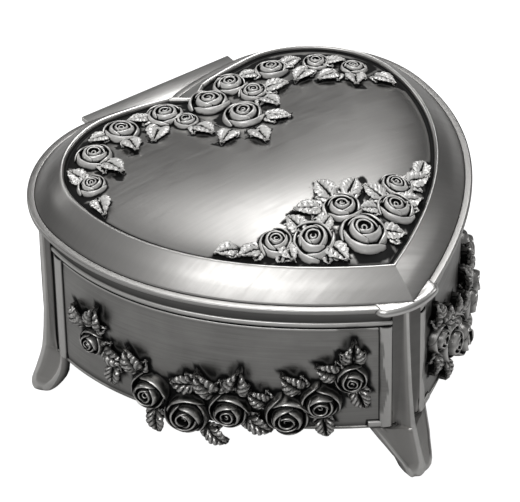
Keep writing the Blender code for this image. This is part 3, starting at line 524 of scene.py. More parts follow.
class DomeSurface:
    """Height of the lid's domed panel, and of the ridge round it."""

    def __init__(self, edge_z: float = 62.3, rise: float = 4.2, border: float = 0.9) -> None:
        """Measures the panel's edge and tabulates the heights that lie under the sprays.

        Args:
            edge_z: Height of the panel at its edge.
            rise: How much higher its middle is.
            border: How far the patina and painted shade spread past the panel's edge.
        """
        self.edge_z, self.rise = edge_z, rise
        t = np.linspace(0, 1, 240, endpoint=False)
        half, inner = (np.concatenate([HEART.along(curve, t, PANEL_INSET + more) for curve in HEART.curves()])
                       for more in (0.0, 1.0))
        inward = inner - half
        inward, half = inward[half[:, 0] > 0], half[half[:, 0] > 0]
        self.samples = np.concatenate([half, half * [-1, 1]])
        self.inward = np.concatenate([inward, inward * [-1, 1]])
        self.border = HEART.ring(PANEL_INSET - border, 0.0)[:, :2]
        self.full = self._swell(np.array([[0.0, 0.0]]))[0]
        self.grid = np.arange(-66.0, 66.5, 1.0)
        xs, ys = np.meshgrid(self.grid, self.grid, indexing="ij")
        flat = np.column_stack([xs.ravel(), ys.ravel()])
        inside = self._inside(flat, HEART.ring(PANEL_INSET, 0.0)[:, :2])
        heights = np.where(inside, self.height(flat[:, 0], flat[:, 1]), RIDGE_Z)
        self.table = heights.reshape(xs.shape)

    def _gaps(self, points: np.ndarray, block: int = 1500) -> Iterator[np.ndarray]:
        """Squared distances from points to the panel's edge, a block of points at a time."""
        for part in np.array_split(points, max(1, len(points) // block)):
            yield ((part[:, None, :2] - self.samples[None]) ** 2).sum(2)

    def _swell(self, points: np.ndarray) -> np.ndarray:
        """A smooth measure of how far points lie from the panel's edge."""
        return np.concatenate([1.0 / np.mean(1.0 / np.maximum(gaps, 0.09), axis=1) for gaps in self._gaps(points)])

    @staticmethod
    def _inside(points: np.ndarray, ring: np.ndarray) -> np.ndarray:
        """Which points lie inside a closed ring."""
        inside = np.zeros(len(points), bool)
        for a, b in zip(ring, np.roll(ring, -1, axis=0)):
            if a[1] == b[1]:
                continue
            crosses = (a[1] > points[:, 1]) != (b[1] > points[:, 1])
            at = (b[0] - a[0]) * (points[:, 1] - a[1]) / (b[1] - a[1]) + a[0]
            inside ^= crosses & (points[:, 0] < at)
        return inside

    def height(self, x: np.ndarray, y: np.ndarray) -> np.ndarray:
        """Exact height of the panel at x and y."""
        share = np.minimum(self._swell(np.column_stack([x, y])) / self.full, 1.2)
        return self.edge_z + self.rise * share ** 0.85

    def depth(self, local: np.ndarray) -> np.ndarray:
        """How far in from the panel's edge places lie."""
        return np.concatenate([np.sqrt(gaps.min(1)) for gaps in self._gaps(local)])

    def patina_and_shade(self, here: np.ndarray, there: np.ndarray, tight: float = 0.25, more: float = 2.0,
               ramp: float = 1.2) -> np.ndarray:
        """Width of the patina and painted shade on the panel: tight on its open side, and more towards its border."""
        outwards = np.clip((self.depth(there) - self.depth(here)) / ramp, 0, 1)
        return (tight + more * outwards) * self._inside(here[:, :2], self.border)

    def keep_in(self, local: np.ndarray, margin: float = -0.7) -> np.ndarray:
        """How far a piece has to move to lie within the panel.

        Args:
            local: Its points.
            margin: Distance that it keeps inside the panel's edge.

        Returns:
            The move in x and y.
        """
        shift = np.zeros(2)
        points = local[::max(1, len(local) // 400), :2]
        for _ in range(4):
            gaps = (points + shift)[:, None, :] - self.samples[None]
            nearest = (gaps ** 2).sum(2).argmin(1)
            depth = (gaps[np.arange(len(points)), nearest] * self.inward[nearest]).sum(1)
            worst = int(depth.argmin())
            if depth[worst] >= margin:
                break
            shift = shift + self.inward[nearest[worst]] * (margin - depth[worst])
        return shift

    def cover(self, x: np.ndarray, y: np.ndarray) -> np.ndarray:
        """Height that the sprays lie on at x and y, from the table."""
        i = np.clip((x - self.grid[0]), 0, len(self.grid) - 2.001)
        j = np.clip((y - self.grid[0]), 0, len(self.grid) - 2.001)
        i0, j0 = i.astype(int), j.astype(int)
        u, v = i - i0, j - j0
        t = self.table
        return (t[i0, j0] * (1 - u) * (1 - v) + t[i0 + 1, j0] * u * (1 - v)
                + t[i0, j0 + 1] * (1 - u) * v + t[i0 + 1, j0 + 1] * u * v)

    def lay(self, local: np.ndarray) -> np.ndarray:
        """Lays points over the lid: x and y in plan, and a height above the surface."""
        z = self.cover(local[:, 0], local[:, 1]) + local[:, 2]
        return np.column_stack([local[:, 0], local[:, 1], z])


@dataclass(frozen=True)
class WallSurface:
    """The outside of the wall, unrolled: a distance from the tip, a height, and a distance off it."""

    side: Side
    inset: float = WALL_INSET
    rail_z: float = 45.5
    step: float = 0.4

    def path(self) -> tuple[np.ndarray, np.ndarray]:
        """Distances along the wall from the tip, and the places there."""
        half = HEART.half(self.inset, TipShape.FLAT, RearShape.STRAIGHT)[::-1]
        steps = np.hypot(*np.diff(half, axis=0).T)
        return np.concatenate([[0.0], np.cumsum(steps)]), half

    @staticmethod
    def patina_and_shade(here: np.ndarray, there: np.ndarray, over: float = 0.7, under: float = 0.4) -> np.ndarray:
        """Width of the patina and painted shade round a garland, which is wider over it than under it."""
        return np.where(here[:, 2] > there[:, 2] - 0.5, over, under)

    def keep_in(self, local: np.ndarray) -> np.ndarray:
        """How far a piece has to move to stay under the rail."""
        return np.array([0.0, min(0.0, self.rail_z - float(local[:, 1].max()))])

    def lay(self, local: np.ndarray) -> np.ndarray:
        """Lays points on the wall: distance along it, height, and distance off it."""
        path, places = self.path()

        def at(distance: np.ndarray) -> np.ndarray:
            """Places at distances along the wall."""
            return np.column_stack([np.interp(distance, path, places[:, k]) for k in (0, 1)])

        run = at(local[:, 0] + self.step) - at(local[:, 0] - self.step)
        run /= np.maximum(np.hypot(run[:, :1], run[:, 1:]), 1e-9)
        normal = np.column_stack([run[:, 1], -run[:, 0]])
        flat = (at(local[:, 0]) + normal * local[:, 2:]) * [self.side.value, 1]
        return np.column_stack([flat, local[:, 1]])


def new_material(name: str) -> tuple[Material, NodeTree, Node]:
    """A new material, its node tree and its Principled shader."""
    material = bpy.data.materials.new(name)
    material.use_nodes = True
    return material, material.node_tree, material.node_tree.nodes["Principled BSDF"]


def feed(tree: NodeTree, node: Node, inputs: dict[str | int, object]) -> None:
    """Sets a node's sockets, each from a value or from the output that feeds it."""
    for key, value in inputs.items():
        if isinstance(value, NodeSocket):
            tree.links.new(value, node.inputs[key])
        else:
            node.inputs[key].default_value = value


def add_node(tree: NodeTree, kind: str, inputs: dict[str | int, object] | None = None,
             **settings: object) -> Node:
    """Adds a shader node.

    Args:
        tree: The tree that it goes into.
        kind: Its type, without the words ShaderNode.
        inputs: Its sockets by name or number, each a value or the output that feeds it.
        settings: Its properties.

    Returns:
        The node.
    """
    node = tree.nodes.new("ShaderNode" + kind)
    for name, value in settings.items():
        setattr(node, name, value)
    feed(tree, node, inputs or {})
    return node


def add_range(tree: NodeTree, value: NodeSocket, source: tuple[float, float],
              target: tuple[float, float] = (0.0, 1.0), smooth: bool = False) -> NodeSocket:
    """Adds a map from one range of values to another, and gives its output."""
    inputs = {"Value": value, "From Min": source[0], "From Max": source[1], "To Min": target[0], "To Max": target[1]}
    node = add_node(tree, "MapRange", inputs, interpolation_type="SMOOTHSTEP" if smooth else "LINEAR")
    return node.outputs["Result"]


def grain_group() -> NodeTree:
    """The shared grain of cast and brushed metal, made once.

    Returns:
        A group whose Tone varies round 0.5, whose Mask is the patina and painted shade with a broken edge,
        whose Polish is the rubbed metal of the high places, and whose Height is a fine brushed relief.
    """
    found = bpy.data.node_groups.get("metal_grain")
    if found:
        return found
    group = bpy.data.node_groups.new("metal_grain", "ShaderNodeTree")
    for way, kind, names in (("INPUT", "Float", ("Antique", "Mottle Scale", "Breakup")),
                             ("INPUT", "Vector", ("Streak Scale", "Streak Turn")),
                             ("OUTPUT", "Float", ("Tone", "Mask", "Polish", "Height"))):
        for name in names:
            group.interface.new_socket(name=name, in_out=way, socket_type="NodeSocket" + kind)
    given = group.nodes.new("NodeGroupInput").outputs
    place = add_node(group, "TexCoord").outputs["Object"]
    turned = add_node(group, "Mapping", {"Vector": place, "Scale": given["Streak Scale"],
                                         "Rotation": given["Streak Turn"]}).outputs["Vector"]
    streak = add_node(group, "TexNoise", {"Vector": turned, "Scale": STREAK_SCALE, "Detail": 4.0,
                                          "Roughness": 0.6}).outputs["Fac"]
    mottle = add_node(group, "TexNoise", {"Vector": place, "Scale": given["Mottle Scale"], "Detail": 5.0,
                                          "Roughness": 0.55}).outputs["Fac"]
    both = add_node(group, "Math", {0: streak, 1: mottle}, operation="ADD").outputs[0]
    tone = add_node(group, "Math", {0: both, 1: 0.5}, operation="MULTIPLY").outputs[0]
    centred = add_node(group, "Math", {0: tone, 1: 0.5}, operation="SUBTRACT").outputs[0]
    broken = add_node(group, "Math", {0: centred, 1: given["Breakup"], 2: given["Antique"]},
                      operation="MULTIPLY_ADD").outputs[0]
    feed(group, group.nodes.new("NodeGroupOutput"),
         {"Tone": tone, "Mask": add_range(group, broken, MASK_SPAN, smooth=True),
          "Polish": add_range(group, broken, POLISH_SPAN, smooth=True), "Height": streak})
    return group


@dataclass(frozen=True)
class Pewter:
    """Antiqued pewter: metal, rubbed brighter on the high places, with black patina and painted shade in the hollows.
    """

    name: str
    metal: tuple[float, float, float]
    rubbed: tuple[float, float, float] = (0.80, 0.79, 0.77)
    patina_and_shade: tuple[float, float, float] = (0.008, 0.008, 0.008)
    roughness: float = 0.34
    patina_roughness: float = 0.62
    streak_scale: tuple[float, float, float] = (1.0, 1.0, 30.0)
    streak_turn: tuple[float, float, float] = (0.0, 0.0, 0.0)
    mottle_scale: float = 90.0
    variation: float = 0.35
    breakup: float = 0.35
    bump: float = 0.12
    shine: float = 1.0
    specular: float = 0.2
    tone_span: tuple[float, float] = (0.3, 0.7)
    roughness_swing: float = 0.06

    def material(self) -> Material:
        """Builds the material."""
        material, tree, shader = new_material(self.name)
        antique = add_node(tree, "Attribute", attribute_name=ANTIQUE_AND_SHADE).outputs["Fac"]
        grain = add_node(tree, "Group", node_tree=grain_group())
        feed(tree, grain, {"Antique": antique, "Streak Scale": self.streak_scale, "Streak Turn": self.streak_turn,
                           "Mottle Scale": self.mottle_scale, "Breakup": self.breakup})
        tone, mask = grain.outputs["Tone"], grain.outputs["Mask"]
        swing = add_range(tree, tone, self.tone_span, (1.0 - self.variation, 1.0 + self.variation))
        bright = add_node(tree, "Mix", {0: grain.outputs["Polish"], 6: (*self.metal, 1.0), 7: (*self.rubbed, 1.0)},
                          data_type="RGBA").outputs[2]
        metal = add_node(tree, "VectorMath", {0: bright, "Scale": swing}, operation="SCALE").outputs[0]
        # Where the mask is high the colour goes black: patina and painted shade.
        colour = add_node(tree, "Mix", {0: mask, 6: metal, 7: (*self.patina_and_shade, 1.0)}, data_type="RGBA").outputs[2]
        polished = add_range(tree, tone, self.tone_span,
                             (self.roughness + self.roughness_swing, self.roughness - self.roughness_swing))
        rough = add_node(tree, "Mix", {0: mask, 2: polished, 3: self.patina_roughness}).outputs[0]
        normal = add_node(tree, "Bump", {"Strength": self.bump, "Distance": GRAIN_DEPTH,
                                         "Height": grain.outputs["Height"]}).outputs["Normal"]
        feed(tree, shader, {"Base Color": colour, "Roughness": rough, "Normal": normal,
                            "Specular IOR Level": self.specular,
                            "Metallic": add_range(tree, mask, (0.0, 1.0), (self.shine, 0.0))})
        return material


@dataclass(frozen=True)
class Pile:
    """Velvet or felt."""

    name: str
    colour: tuple[float, float, float]
    sheen: float = 0.6
    nap_scale: float = 900.0
    brushed_scale: float = 45.0
    brushed_span: tuple[float, float] = (0.35, 0.65)
    brushed_gain: tuple[float, float] = (0.6, 1.5)
    nap_bump: float = 0.3
    roughness: float = 0.9
    sheen_roughness: float = 0.4

    def material(self) -> Material:
        """Builds the material."""
        material, tree, shader = new_material(self.name)
        place = add_node(tree, "TexCoord").outputs["Object"]
        nap = add_node(tree, "TexNoise", {"Vector": place, "Scale": self.nap_scale, "Detail": 3.0}).outputs["Fac"]
        brushed = add_node(tree, "TexNoise", {"Vector": place, "Scale": self.brushed_scale}).outputs["Fac"]
        tone = add_range(tree, brushed, self.brushed_span, self.brushed_gain)
        colour = add_node(tree, "VectorMath", {0: self.colour, "Scale": tone}, operation="SCALE").outputs[0]
        normal = add_node(tree, "Bump", {"Strength": self.nap_bump, "Distance": GRAIN_DEPTH,
                                         "Height": nap}).outputs["Normal"]
        feed(tree, shader, {"Base Color": colour, "Roughness": self.roughness, "Sheen Weight": self.sheen,
                            "Sheen Roughness": self.sheen_roughness, "Normal": normal})
        return material


def dress(obj: Object, material: Material, body: str, slot: str,
          *nodes: str) -> Object:
    """Gives a finished piece its material, its body and the nodes that it stands for.

    Args:
        obj: The piece.
        material: Its material.
        body: The body that it rides on.
        slot: The name of a material slot; not used.
        nodes: The nodes that it replaces.

    Returns:
        The piece.
    """
    obj.data.materials.clear()
    obj.data.materials.append(material)
    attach(obj, body)
    if nodes:
        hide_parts(*nodes)
    LOG.info("%s: %d faces", obj.name, len(obj.data.polygons))
    return obj


PANEL_SHARES = (*(0.985 - 0.012 * i for i in range(64)), 0.18, 0.13, 0.08, 0.03)


@dataclass(frozen=True)
class LidShell:
    """The lid casting: lip, bevelled border, ridge, groove, domed panel, hinge bar and finger tab."""

    dome: DomeSurface
    under_z: float = 55.1
    lip: float = 1.4
    lip_width: float = 5.6
    band: float = 2.0
    ridge_inset: float = 9.2
    ridge_z: float = RIDGE_Z
    groove_z: float = 62.0
    panel_inset: float = PANEL_INSET
    wall: float = 2.2
    inside_dark: float = 0.3
    rim_dark: float = 0.35
    rim_share: float = 0.05
    bar_half_width: float = 24.0
    bar_front: float = 46.7
    bar_overhang: float = 2.8
    bar_height: float = 1.35
    bar_bevel: float = 0.25
    bar_dark: float = -0.5
    tab_half_width: float = 8.8
    tab_drop: float = 1.0
    tab_end: float = 1.6
    tab_rounding: float = 1.5
    tab_back_low: float = 1.75
    tab_back: float = 4.2

    def profile(self) -> list[Station]:
        """The outside profile from the lip's underside to the panel's edge."""
        top = self.under_z + self.lip
        return rounded([Station(*row) for row in (
            (self.lip_width, self.under_z, 0.0, 0.6),
            (0.9, self.under_z, 0.0, 0.5),
            (0.0, self.under_z, 0.45, 0.1),
            (0.0, top, 0.5, -0.2),
            (self.band - 0.15, top - 0.02, 0.1, 0.15),
            (self.band + 0.05, top - 0.12, 0.05, 0.95),
            (self.band + 0.3, top + 0.35, 0.25, 0.1),
            (5.4, 60.25, 1.5, 0.0),
            (self.ridge_inset - 0.35, self.ridge_z - 0.25, 0.35, -0.05),
            (self.ridge_inset + 0.05, self.ridge_z, 0.3, -0.45),
            (self.ridge_inset + 0.75, self.ridge_z - 0.3, 0.3, -0.3),
            (self.ridge_inset + 1.0, self.groove_z + 0.1, 0.2, 0.95),
            (self.panel_inset - 0.35, self.groove_z, 0.2, 1.0),
            (self.panel_inset, self.dome.edge_z, 0.15, 0.55),
        )])

    def casting(self) -> Object:
        """The casting without its bar and tab."""
        rings = [(lip_ring(station.inset, station.height), station.antique) for station in self.profile()]
        panel = lip_ring(self.panel_inset, self.dome.edge_z)
        for share in PANEL_SHARES:
            ring = panel * [share, share, 1]
            ring[:, 2] = self.dome.height(ring[:, 0], ring[:, 1])
            rings.append((ring, self.rim_dark * max(0.0, 1 - (1 - share) / self.rim_share)))
        outside = sweep("lid_casting", rings, filled=False, capped=True)
        hollow = [lip_ring(self.lip_width, self.under_z), lip_ring(self.lip_width, self.under_z + self.lip),
                  lip_ring(self.panel_inset, self.groove_z - self.wall)]
        hollow.append(hollow[-1] * [PANEL_SHARES[-1], PANEL_SHARES[-1], 1])
        inside = sweep("lid_hollow", [(ring, self.inside_dark) for ring in hollow], filled=False, capped=True)
        shell = join("lid_casting", [outside, inside])
        edit(shell, partial(bpy.ops.mesh.remove_doubles, threshold=2 * WELD), face_outwards)
        return shell

    def bar(self) -> Object:
        """The bar that overhangs the cleft, over the hinge."""
        low = Vector((-self.bar_half_width, self.bar_front, self.under_z))
        high = Vector((self.bar_half_width, HEART.lobe_rear_y + self.bar_overhang, self.under_z + self.bar_height))
        deselect_all()
        bpy.ops.mesh.primitive_cube_add(size=1.0, location=((low + high) / 2 + Vector((0, HEART.shift, 0))) * MM)
        obj = bpy.context.object
        obj.scale = (high - low) * MM
        bpy.ops.object.transform_apply(location=True, rotation=False, scale=True)
        modifier = obj.modifiers.new("edges", "BEVEL")
        modifier.width = self.bar_bevel * MM
        modifier.segments = 3
        apply_modifiers(obj)
        shade(obj)
        set_antique_and_shade(obj, np.full(len(obj.data.vertices), self.bar_dark))
        return obj

    def tab(self) -> Object:
        """The finger tab at the tip."""
        def ring(grow: float, z: float) -> np.ndarray:
            """The tab's plan at a height, grown outwards."""
            half = self.tab_half_width + grow
            xs = half * np.sin(np.linspace(np.pi / 2, -np.pi / 2, 41))
            end = np.clip((np.abs(xs) - half + self.tab_end) / self.tab_end, 0, 1)
            nose = HEART.nose(xs)
            front = nose - grow + self.tab_rounding * (1 - np.sqrt(1 - 0.96 * end ** 2))
            back = nose + (self.tab_back_low if z < self.under_z + 0.3 else self.tab_back)
            flat = np.concatenate([np.column_stack([xs, front]), np.column_stack([xs, back])[::-1]])
            return np.column_stack([flat, np.full(len(flat), z)])

        top = self.under_z + self.lip + 0.04
        low = self.under_z - self.tab_drop
        rows = ((-1.0, low, 0.35), (-0.4, low, 0.2), (0.1, low + 0.2, -0.1), (0.5, low + 0.55, -0.35),
                (0.72, low + 1.05, -0.5), (0.66, low + 1.5, -0.5), (0.4, top - 0.42, -0.5),
                (-0.05, top - 0.12, -0.5), (-0.6, top, -0.5), (-1.2, top, -0.45))
        return sweep("lid_tab", [(ring(grow, z), dark) for grow, z, dark in rows])

    def build(self, material: Material) -> Object:
        """Builds and dresses the lid."""
        shell = join("lid_shell_dress", [self.casting(), self.bar(), self.tab()])
        return dress(shell, material, "lid", "antique_pewter", "lid_shell")


@dataclass(frozen=True)
class BoxWall:
    """The wall casting: fascia, rail, groove, recessed field, bead, ledge and the frames of the panels."""

    inset: float = WALL_INSET
    thickness: float = 2.2
    bottom_z: float = 15.2
    ledge: float = 3.0
    ledge_height: float = 1.3
    rim_z: float = RIM_Z
    rail_top: float = 50.5
    rail_height: float = 1.5
    bar_width: float = 3.0
    bar_proud: float = 0.8
    groove_width: float = 0.4
    front_bar: float = 4.3
    rear_bar: float = 101.3
    bar_return: float = 3.0
    return_height: float = 1.7
    bar_cuts: int = 17
    bar_round: float = 0.45
    skirt_dark: float = 1.3
    face_dark: float = -0.3
    seam: float = 110.6
    seam_gap: float = 0.2
    seam_width: float = 0.7

    def profile(self) -> list[Station]:
        """The wall's section, from the rim down the outside and up the inside."""
        rail_low = self.rail_top - self.rail_height
        out = self.inset
        inner = out + self.thickness
        return rounded([Station(*row) for row in (
            (out + 0.9, self.rim_z, 0.0, 0.2),
            (out, self.rim_z, 0.25, 0.3),
            (out, self.rail_top + 0.1, 0.05, 0.65),
            (out - 0.5, self.rail_top - 0.2, 0.3, -0.35),
            (out - 0.5, rail_low + 0.25, 0.3, -0.2),
            (out + 0.25, rail_low, 0.05, 1.0),
            (out + 0.25, rail_low - 0.65, 0.1, 1.0),
            (out, rail_low - 0.85, 0.1, -0.35),
            (out, rail_low - 1.15, 0.1, -0.2),
            (out + 0.05, rail_low - 1.5, 0.0, 0.25),
            (out, rail_low - 3.5, 0.0, 0.0),
            (out, self.bottom_z + 3.0, 0.0, 0.0),
            (out + 0.05, self.bottom_z + 0.9, 0.1, 0.6),
            (out - 0.3, self.bottom_z + 0.7, 0.2, -0.3),
            (out - 0.3, self.bottom_z, 0.25, 0.1),
            (inner + self.ledge, self.bottom_z, 0.2, 0.5),
            (inner + self.ledge, self.bottom_z + self.ledge_height, 0.0, 0.5),
            (inner, self.bottom_z + self.ledge_height, 0.0, 0.5),
            (inner, self.rim_z, 0.25, 0.2),
            (out + 0.9, self.rim_z, 0.0, 0.2),
        )])

    def casting(self) -> Object:
        """The wall itself."""
        rings = [(wall_ring(station.inset, station.height), self.shadowed(station)) for station in self.profile()]
        return sweep("wall_casting", rings, filled=False, welded=True)

    def shadowed(self, station: Station) -> float | np.ndarray:
        """Antiquing of a ring of the wall, with painted shade outside where it meets the side pilasters."""
        base = station.antique
        if station.inset >= self.inset + 0.3 or base <= -0.2:
            return base
        distance = WallSurface(Side.RIGHT).path()[0][::-1]
        distance = np.concatenate([distance, distance[-2:0:-1]])
        return np.maximum(base, np.exp(-((np.abs(distance - self.seam) - self.seam_gap) / self.seam_width) ** 2))

    def bar(self, name: str, side: Side, along: tuple[float, float], up: tuple[float, float]) -> Object:
        """A raised bar on the wall with a rounded face, and a dark groove round it.

        Args:
            name: The object's name.
            side: The side of the box that it is on.
            along: Distances along the wall where it starts and ends.
            up: Heights where it starts and ends.

        Returns:
            The bar.
        """
        deselect_all()
        bpy.ops.mesh.primitive_cube_add(size=1.0, location=(0, 0, 0))
        obj = bpy.context.object
        obj.name = name
        edit(obj, partial(bpy.ops.mesh.subdivide, number_cuts=self.bar_cuts))
        unit = points_of(obj)
        flat = unit[:, :2]
        size = np.array([along[1] - along[0], up[1] - up[0]])
        stretch = (self.bar_cuts + 1) / (self.bar_cuts - 1)
        outer = np.abs(flat) > 0.45
        skirt = outer.any(1)
        narrow = np.clip(2 * stretch * np.abs(flat[:, size.argmin()]), 0, 1)
        proud = self.bar_proud * (1 - self.bar_round * narrow ** 3)
        flat = np.where(outer, np.sign(flat) * (size / 2 + self.groove_width), flat * stretch * size)
        flat = flat + [sum(along) / 2, sum(up) / 2]
        height = np.where(unit[:, 2] > 0, np.where(skirt, 0.03, proud), -0.3)
        set_plan_points(obj, WallSurface(side).lay(np.column_stack([flat, height])))
        set_antique_and_shade(obj, np.where(skirt, self.skirt_dark, self.face_dark))
        edit(obj, face_outwards)
        shade(obj, 50)
        return obj

    def frames(self) -> list[Object]:
        """Upright bars beside the pilasters, with their short returns at the foot."""
        top = self.rail_top - self.rail_height - 0.4
        low = self.bottom_z + 0.5
        bars = []
        for side in Side:
            tag = side.name.lower()
            for end, start, sign in (("front", self.front_bar, 1), ("rear", self.rear_bar, -1)):
                near, far = sorted((start, start + sign * self.bar_width))
                bars.append(self.bar(f"bar_{tag}_{end}", side, (near, far), (low, top)))
                if end == "front":
                    bars.append(self.bar(f"return_{tag}", side, (far - 0.3, far + self.bar_return),
                                         (low, low + self.return_height)))
        return bars

    def build(self, material: Material) -> Object:
        """Builds and dresses the wall."""
        wall = join("box_wall_dress", [self.casting(), *self.frames()])
        return dress(wall, material, "box", "antique_pewter", "box_wall")


@dataclass(frozen=True)
class FootRow:
    """One plan section of a foot.

    Its face is convex where peak is 0, and two hollows that meet at a crest where peak is 1. Cling is how
    far it follows the wall, and depth how far back it goes.
    """

    z: float
    reach: float
    half_width: float
    curve: float
    peak: float
    cling: float
    depth: float


FRONT_FOOT = tuple(FootRow(*row) for row in (
    (0.12, 6.3, 1.6, 0.15, 0.0, 0.0, 4.0), (0.8, 7.3, 2.4, 0.15, 0.0, 0.0, 5.2),
    (1.8, 7.95, 3.1, 0.15, 0.0, 0.0, 6.2), (3.0, 8.25, 3.7, 0.15, 0.0, 0.0, 6.8),
    (4.4, 8.3, 4.15, 0.13, 0.05, 0.0, 7.2), (6.0, 8.1, 4.65, 0.15, 0.12, 0.0, 7.4),
    (8.0, 7.7, 5.6, 0.19, 0.30, 0.15, 7.6), (10.0, 7.1, 6.5, 0.17, 0.46, 0.4, 7.6),
    (12.0, 6.4, 7.4, 0.15, 0.66, 0.7, 7.6), (13.6, 5.8, 8.1, 0.10, 0.82, 0.9, 7.6),
    (14.75, 5.4, 8.6, 0.05, 0.95, 1.0, 7.6),
))
SIDE_FOOT = tuple(FootRow(*row) for row in (
    (0.12, 4.9, 1.5, 0.45, 0.0, 0.0, 3.2), (0.8, 5.7, 2.5, 0.50, 0.0, 0.0, 4.6),
    (1.8, 6.15, 3.3, 0.55, 0.0, 0.0, 5.8), (3.0, 6.3, 4.0, 0.62, 0.0, 0.0, 6.8),
    (4.4, 6.2, 4.6, 0.68, 0.05, 0.0, 7.6), (6.0, 5.7, 5.1, 0.73, 0.20, 0.0, 8.0),
    (8.0, 4.9, 5.6, 0.80, 0.45, 0.1, 7.8), (10.0, 4.2, 5.9, 0.90, 0.65, 0.3, 7.2),
    (12.0, 3.5, 6.1, 0.95, 0.80, 0.6, 6.5), (13.6, 3.05, 6.0, 0.95, 0.90, 0.85, 6.0),
    (14.75, 2.8, 5.8, 0.93, 1.0, 1.0, 5.8),
))
FRONT_SHAFT = ((0.0, 5.3), (0.05, 4.7), (0.15, 4.0), (0.33, 3.2), (0.63, 2.3), (0.9, 1.65), (1.0, 1.45))
SIDE_SHAFT = ((0.0, 2.75), (0.05, 2.5), (0.15, 2.1), (0.33, 1.65), (0.63, 1.5), (0.9, 1.7), (1.0, 1.8))
FRONT_TOP_Z, SIDE_TOP_Z, REAR_TOP_Z = 53.3, 54.3, 33.0


@dataclass(frozen=True)
class BracketFoot:
    """A flared foot with the reeded pilaster that runs up from it."""

    node: str
    place: tuple[float, float]
    normal: tuple[float, float]
    rows: tuple[FootRow, ...]
    shaft: tuple[tuple[float, float], ...]
    top_z: float
    fall: Callable[[np.ndarray], np.ndarray]
    start_z: float = 15.0
    half_width: float = 4.4
    edge: float = 0.62
    flange: float = 3.0
    crest_width: float = 0.62
    reed_depth: float = 0.75
    rim_place: float = 0.93
    rim_width: float = 0.5
    rim_height: float = 0.45
    sole_share: float = 0.86
    toe_z: float = 3.0
    across: int = 57

    def ring(self, row: FootRow, flare: float, shrink: float = 1.0) -> tuple[np.ndarray, np.ndarray]:
        """One plan section, and its antiquing and painted shade.

        Args:
            row: The section.
            flare: 0 on the pilaster and 1 at the toe, where it is one shield with a raised rim.
            shrink: Share of its size.

        Returns:
            Its points and their antiquing and painted shade.
        """
        u = np.linspace(1, -1, self.across)
        a, width = np.abs(u), row.half_width * shrink
        crest = np.exp(-(a * width / (self.crest_width + 0.35 * flare)) ** 2)
        rim = np.exp(-(((self.rim_place - a) * width) / self.rim_width) ** 2) * flare
        form = (1 - row.peak) * (1 - row.curve * a * a) + row.peak * (1 - a) ** 1.7
        reeds = self.reed_depth * (1 - crest) * (1 - 0.55 * flare)
        face = row.reach * shrink * form - reeds + self.rim_height * rim
        back = max(row.reach - row.depth, -self.flange)
        face = np.maximum(face, back + 0.4 + (self.edge - 0.2) * max(0.0, 1 - 3 * flare))
        bulge = np.array([0.03, 0.05, -0.01, -0.12]) * min(1.0, 2 * flare)
        side = width * (1 + bulge)
        drop = face[0] - (face[0] - back) * np.array([0.15, 0.45, 0.8, 1.0])
        s = np.concatenate([u * width, -side, side[::-1]])
        n = np.concatenate([face, drop, drop[::-1]]) - row.cling * self.fall(np.abs(s))
        out = np.array([*self.normal, 0.0])
        across = np.array([-self.normal[1], self.normal[0], 0.0])
        points = np.array([*self.place, 0.0]) + across * s[:, None] + out * n[:, None]
        points[:, 2] = row.z
        toe = max(0.0, 1 - abs(row.z - self.toe_z) / self.toe_z)
        dark = 0.10 + 0.42 * (1 - crest) * (1 - flare) - 0.95 * crest - 1.5 * rim - 0.5 * toe
        # The sides of the foot darken towards the wall behind it: painted shade.
        hidden = np.array([0.15, 0.55, 0.9, 1.0])
        return points, np.concatenate([dark, hidden, hidden[::-1]])

    def build(self, material: Material) -> Object:
        """Builds and dresses the foot."""
        sole, _ = self.ring(self.rows[0], 1.0, self.sole_share)
        # The sole and the two lowest sections are darkened: painted shade under the foot.
        rings = [(sole * [1, 1, 0], 1.0)]
        for index, row in enumerate(self.rows):
            points, dark = self.ring(row, 1 - 0.6 * row.z / self.rows[-1].z)
            rings.append((points, np.maximum(dark, 0.9 - 0.9 * index) if index < 2 else dark))
        for share, reach in self.shaft:
            z = self.start_z + (self.top_z - self.start_z) * share
            row = FootRow(z, reach, self.half_width, 0.0, 1.0, 1.0, reach + 0.2)
            rings.append(self.ring(row, max(0.0, 0.35 - 2.0 * share)))
        foot = sweep(self.node + "_dress", rings, angle=45)
        return dress(foot, material, "box", "antique_pewter", self.node)


@dataclass(frozen=True)
class PetalRing:
    """A ring of petals: how many, how far out and high they reach, and how they open."""

    count: int
    half_angle: float
    base_out: float
    rim_out: float
    base_up: float
    rim_up: float
    curl: float
    point: float
    turn: float


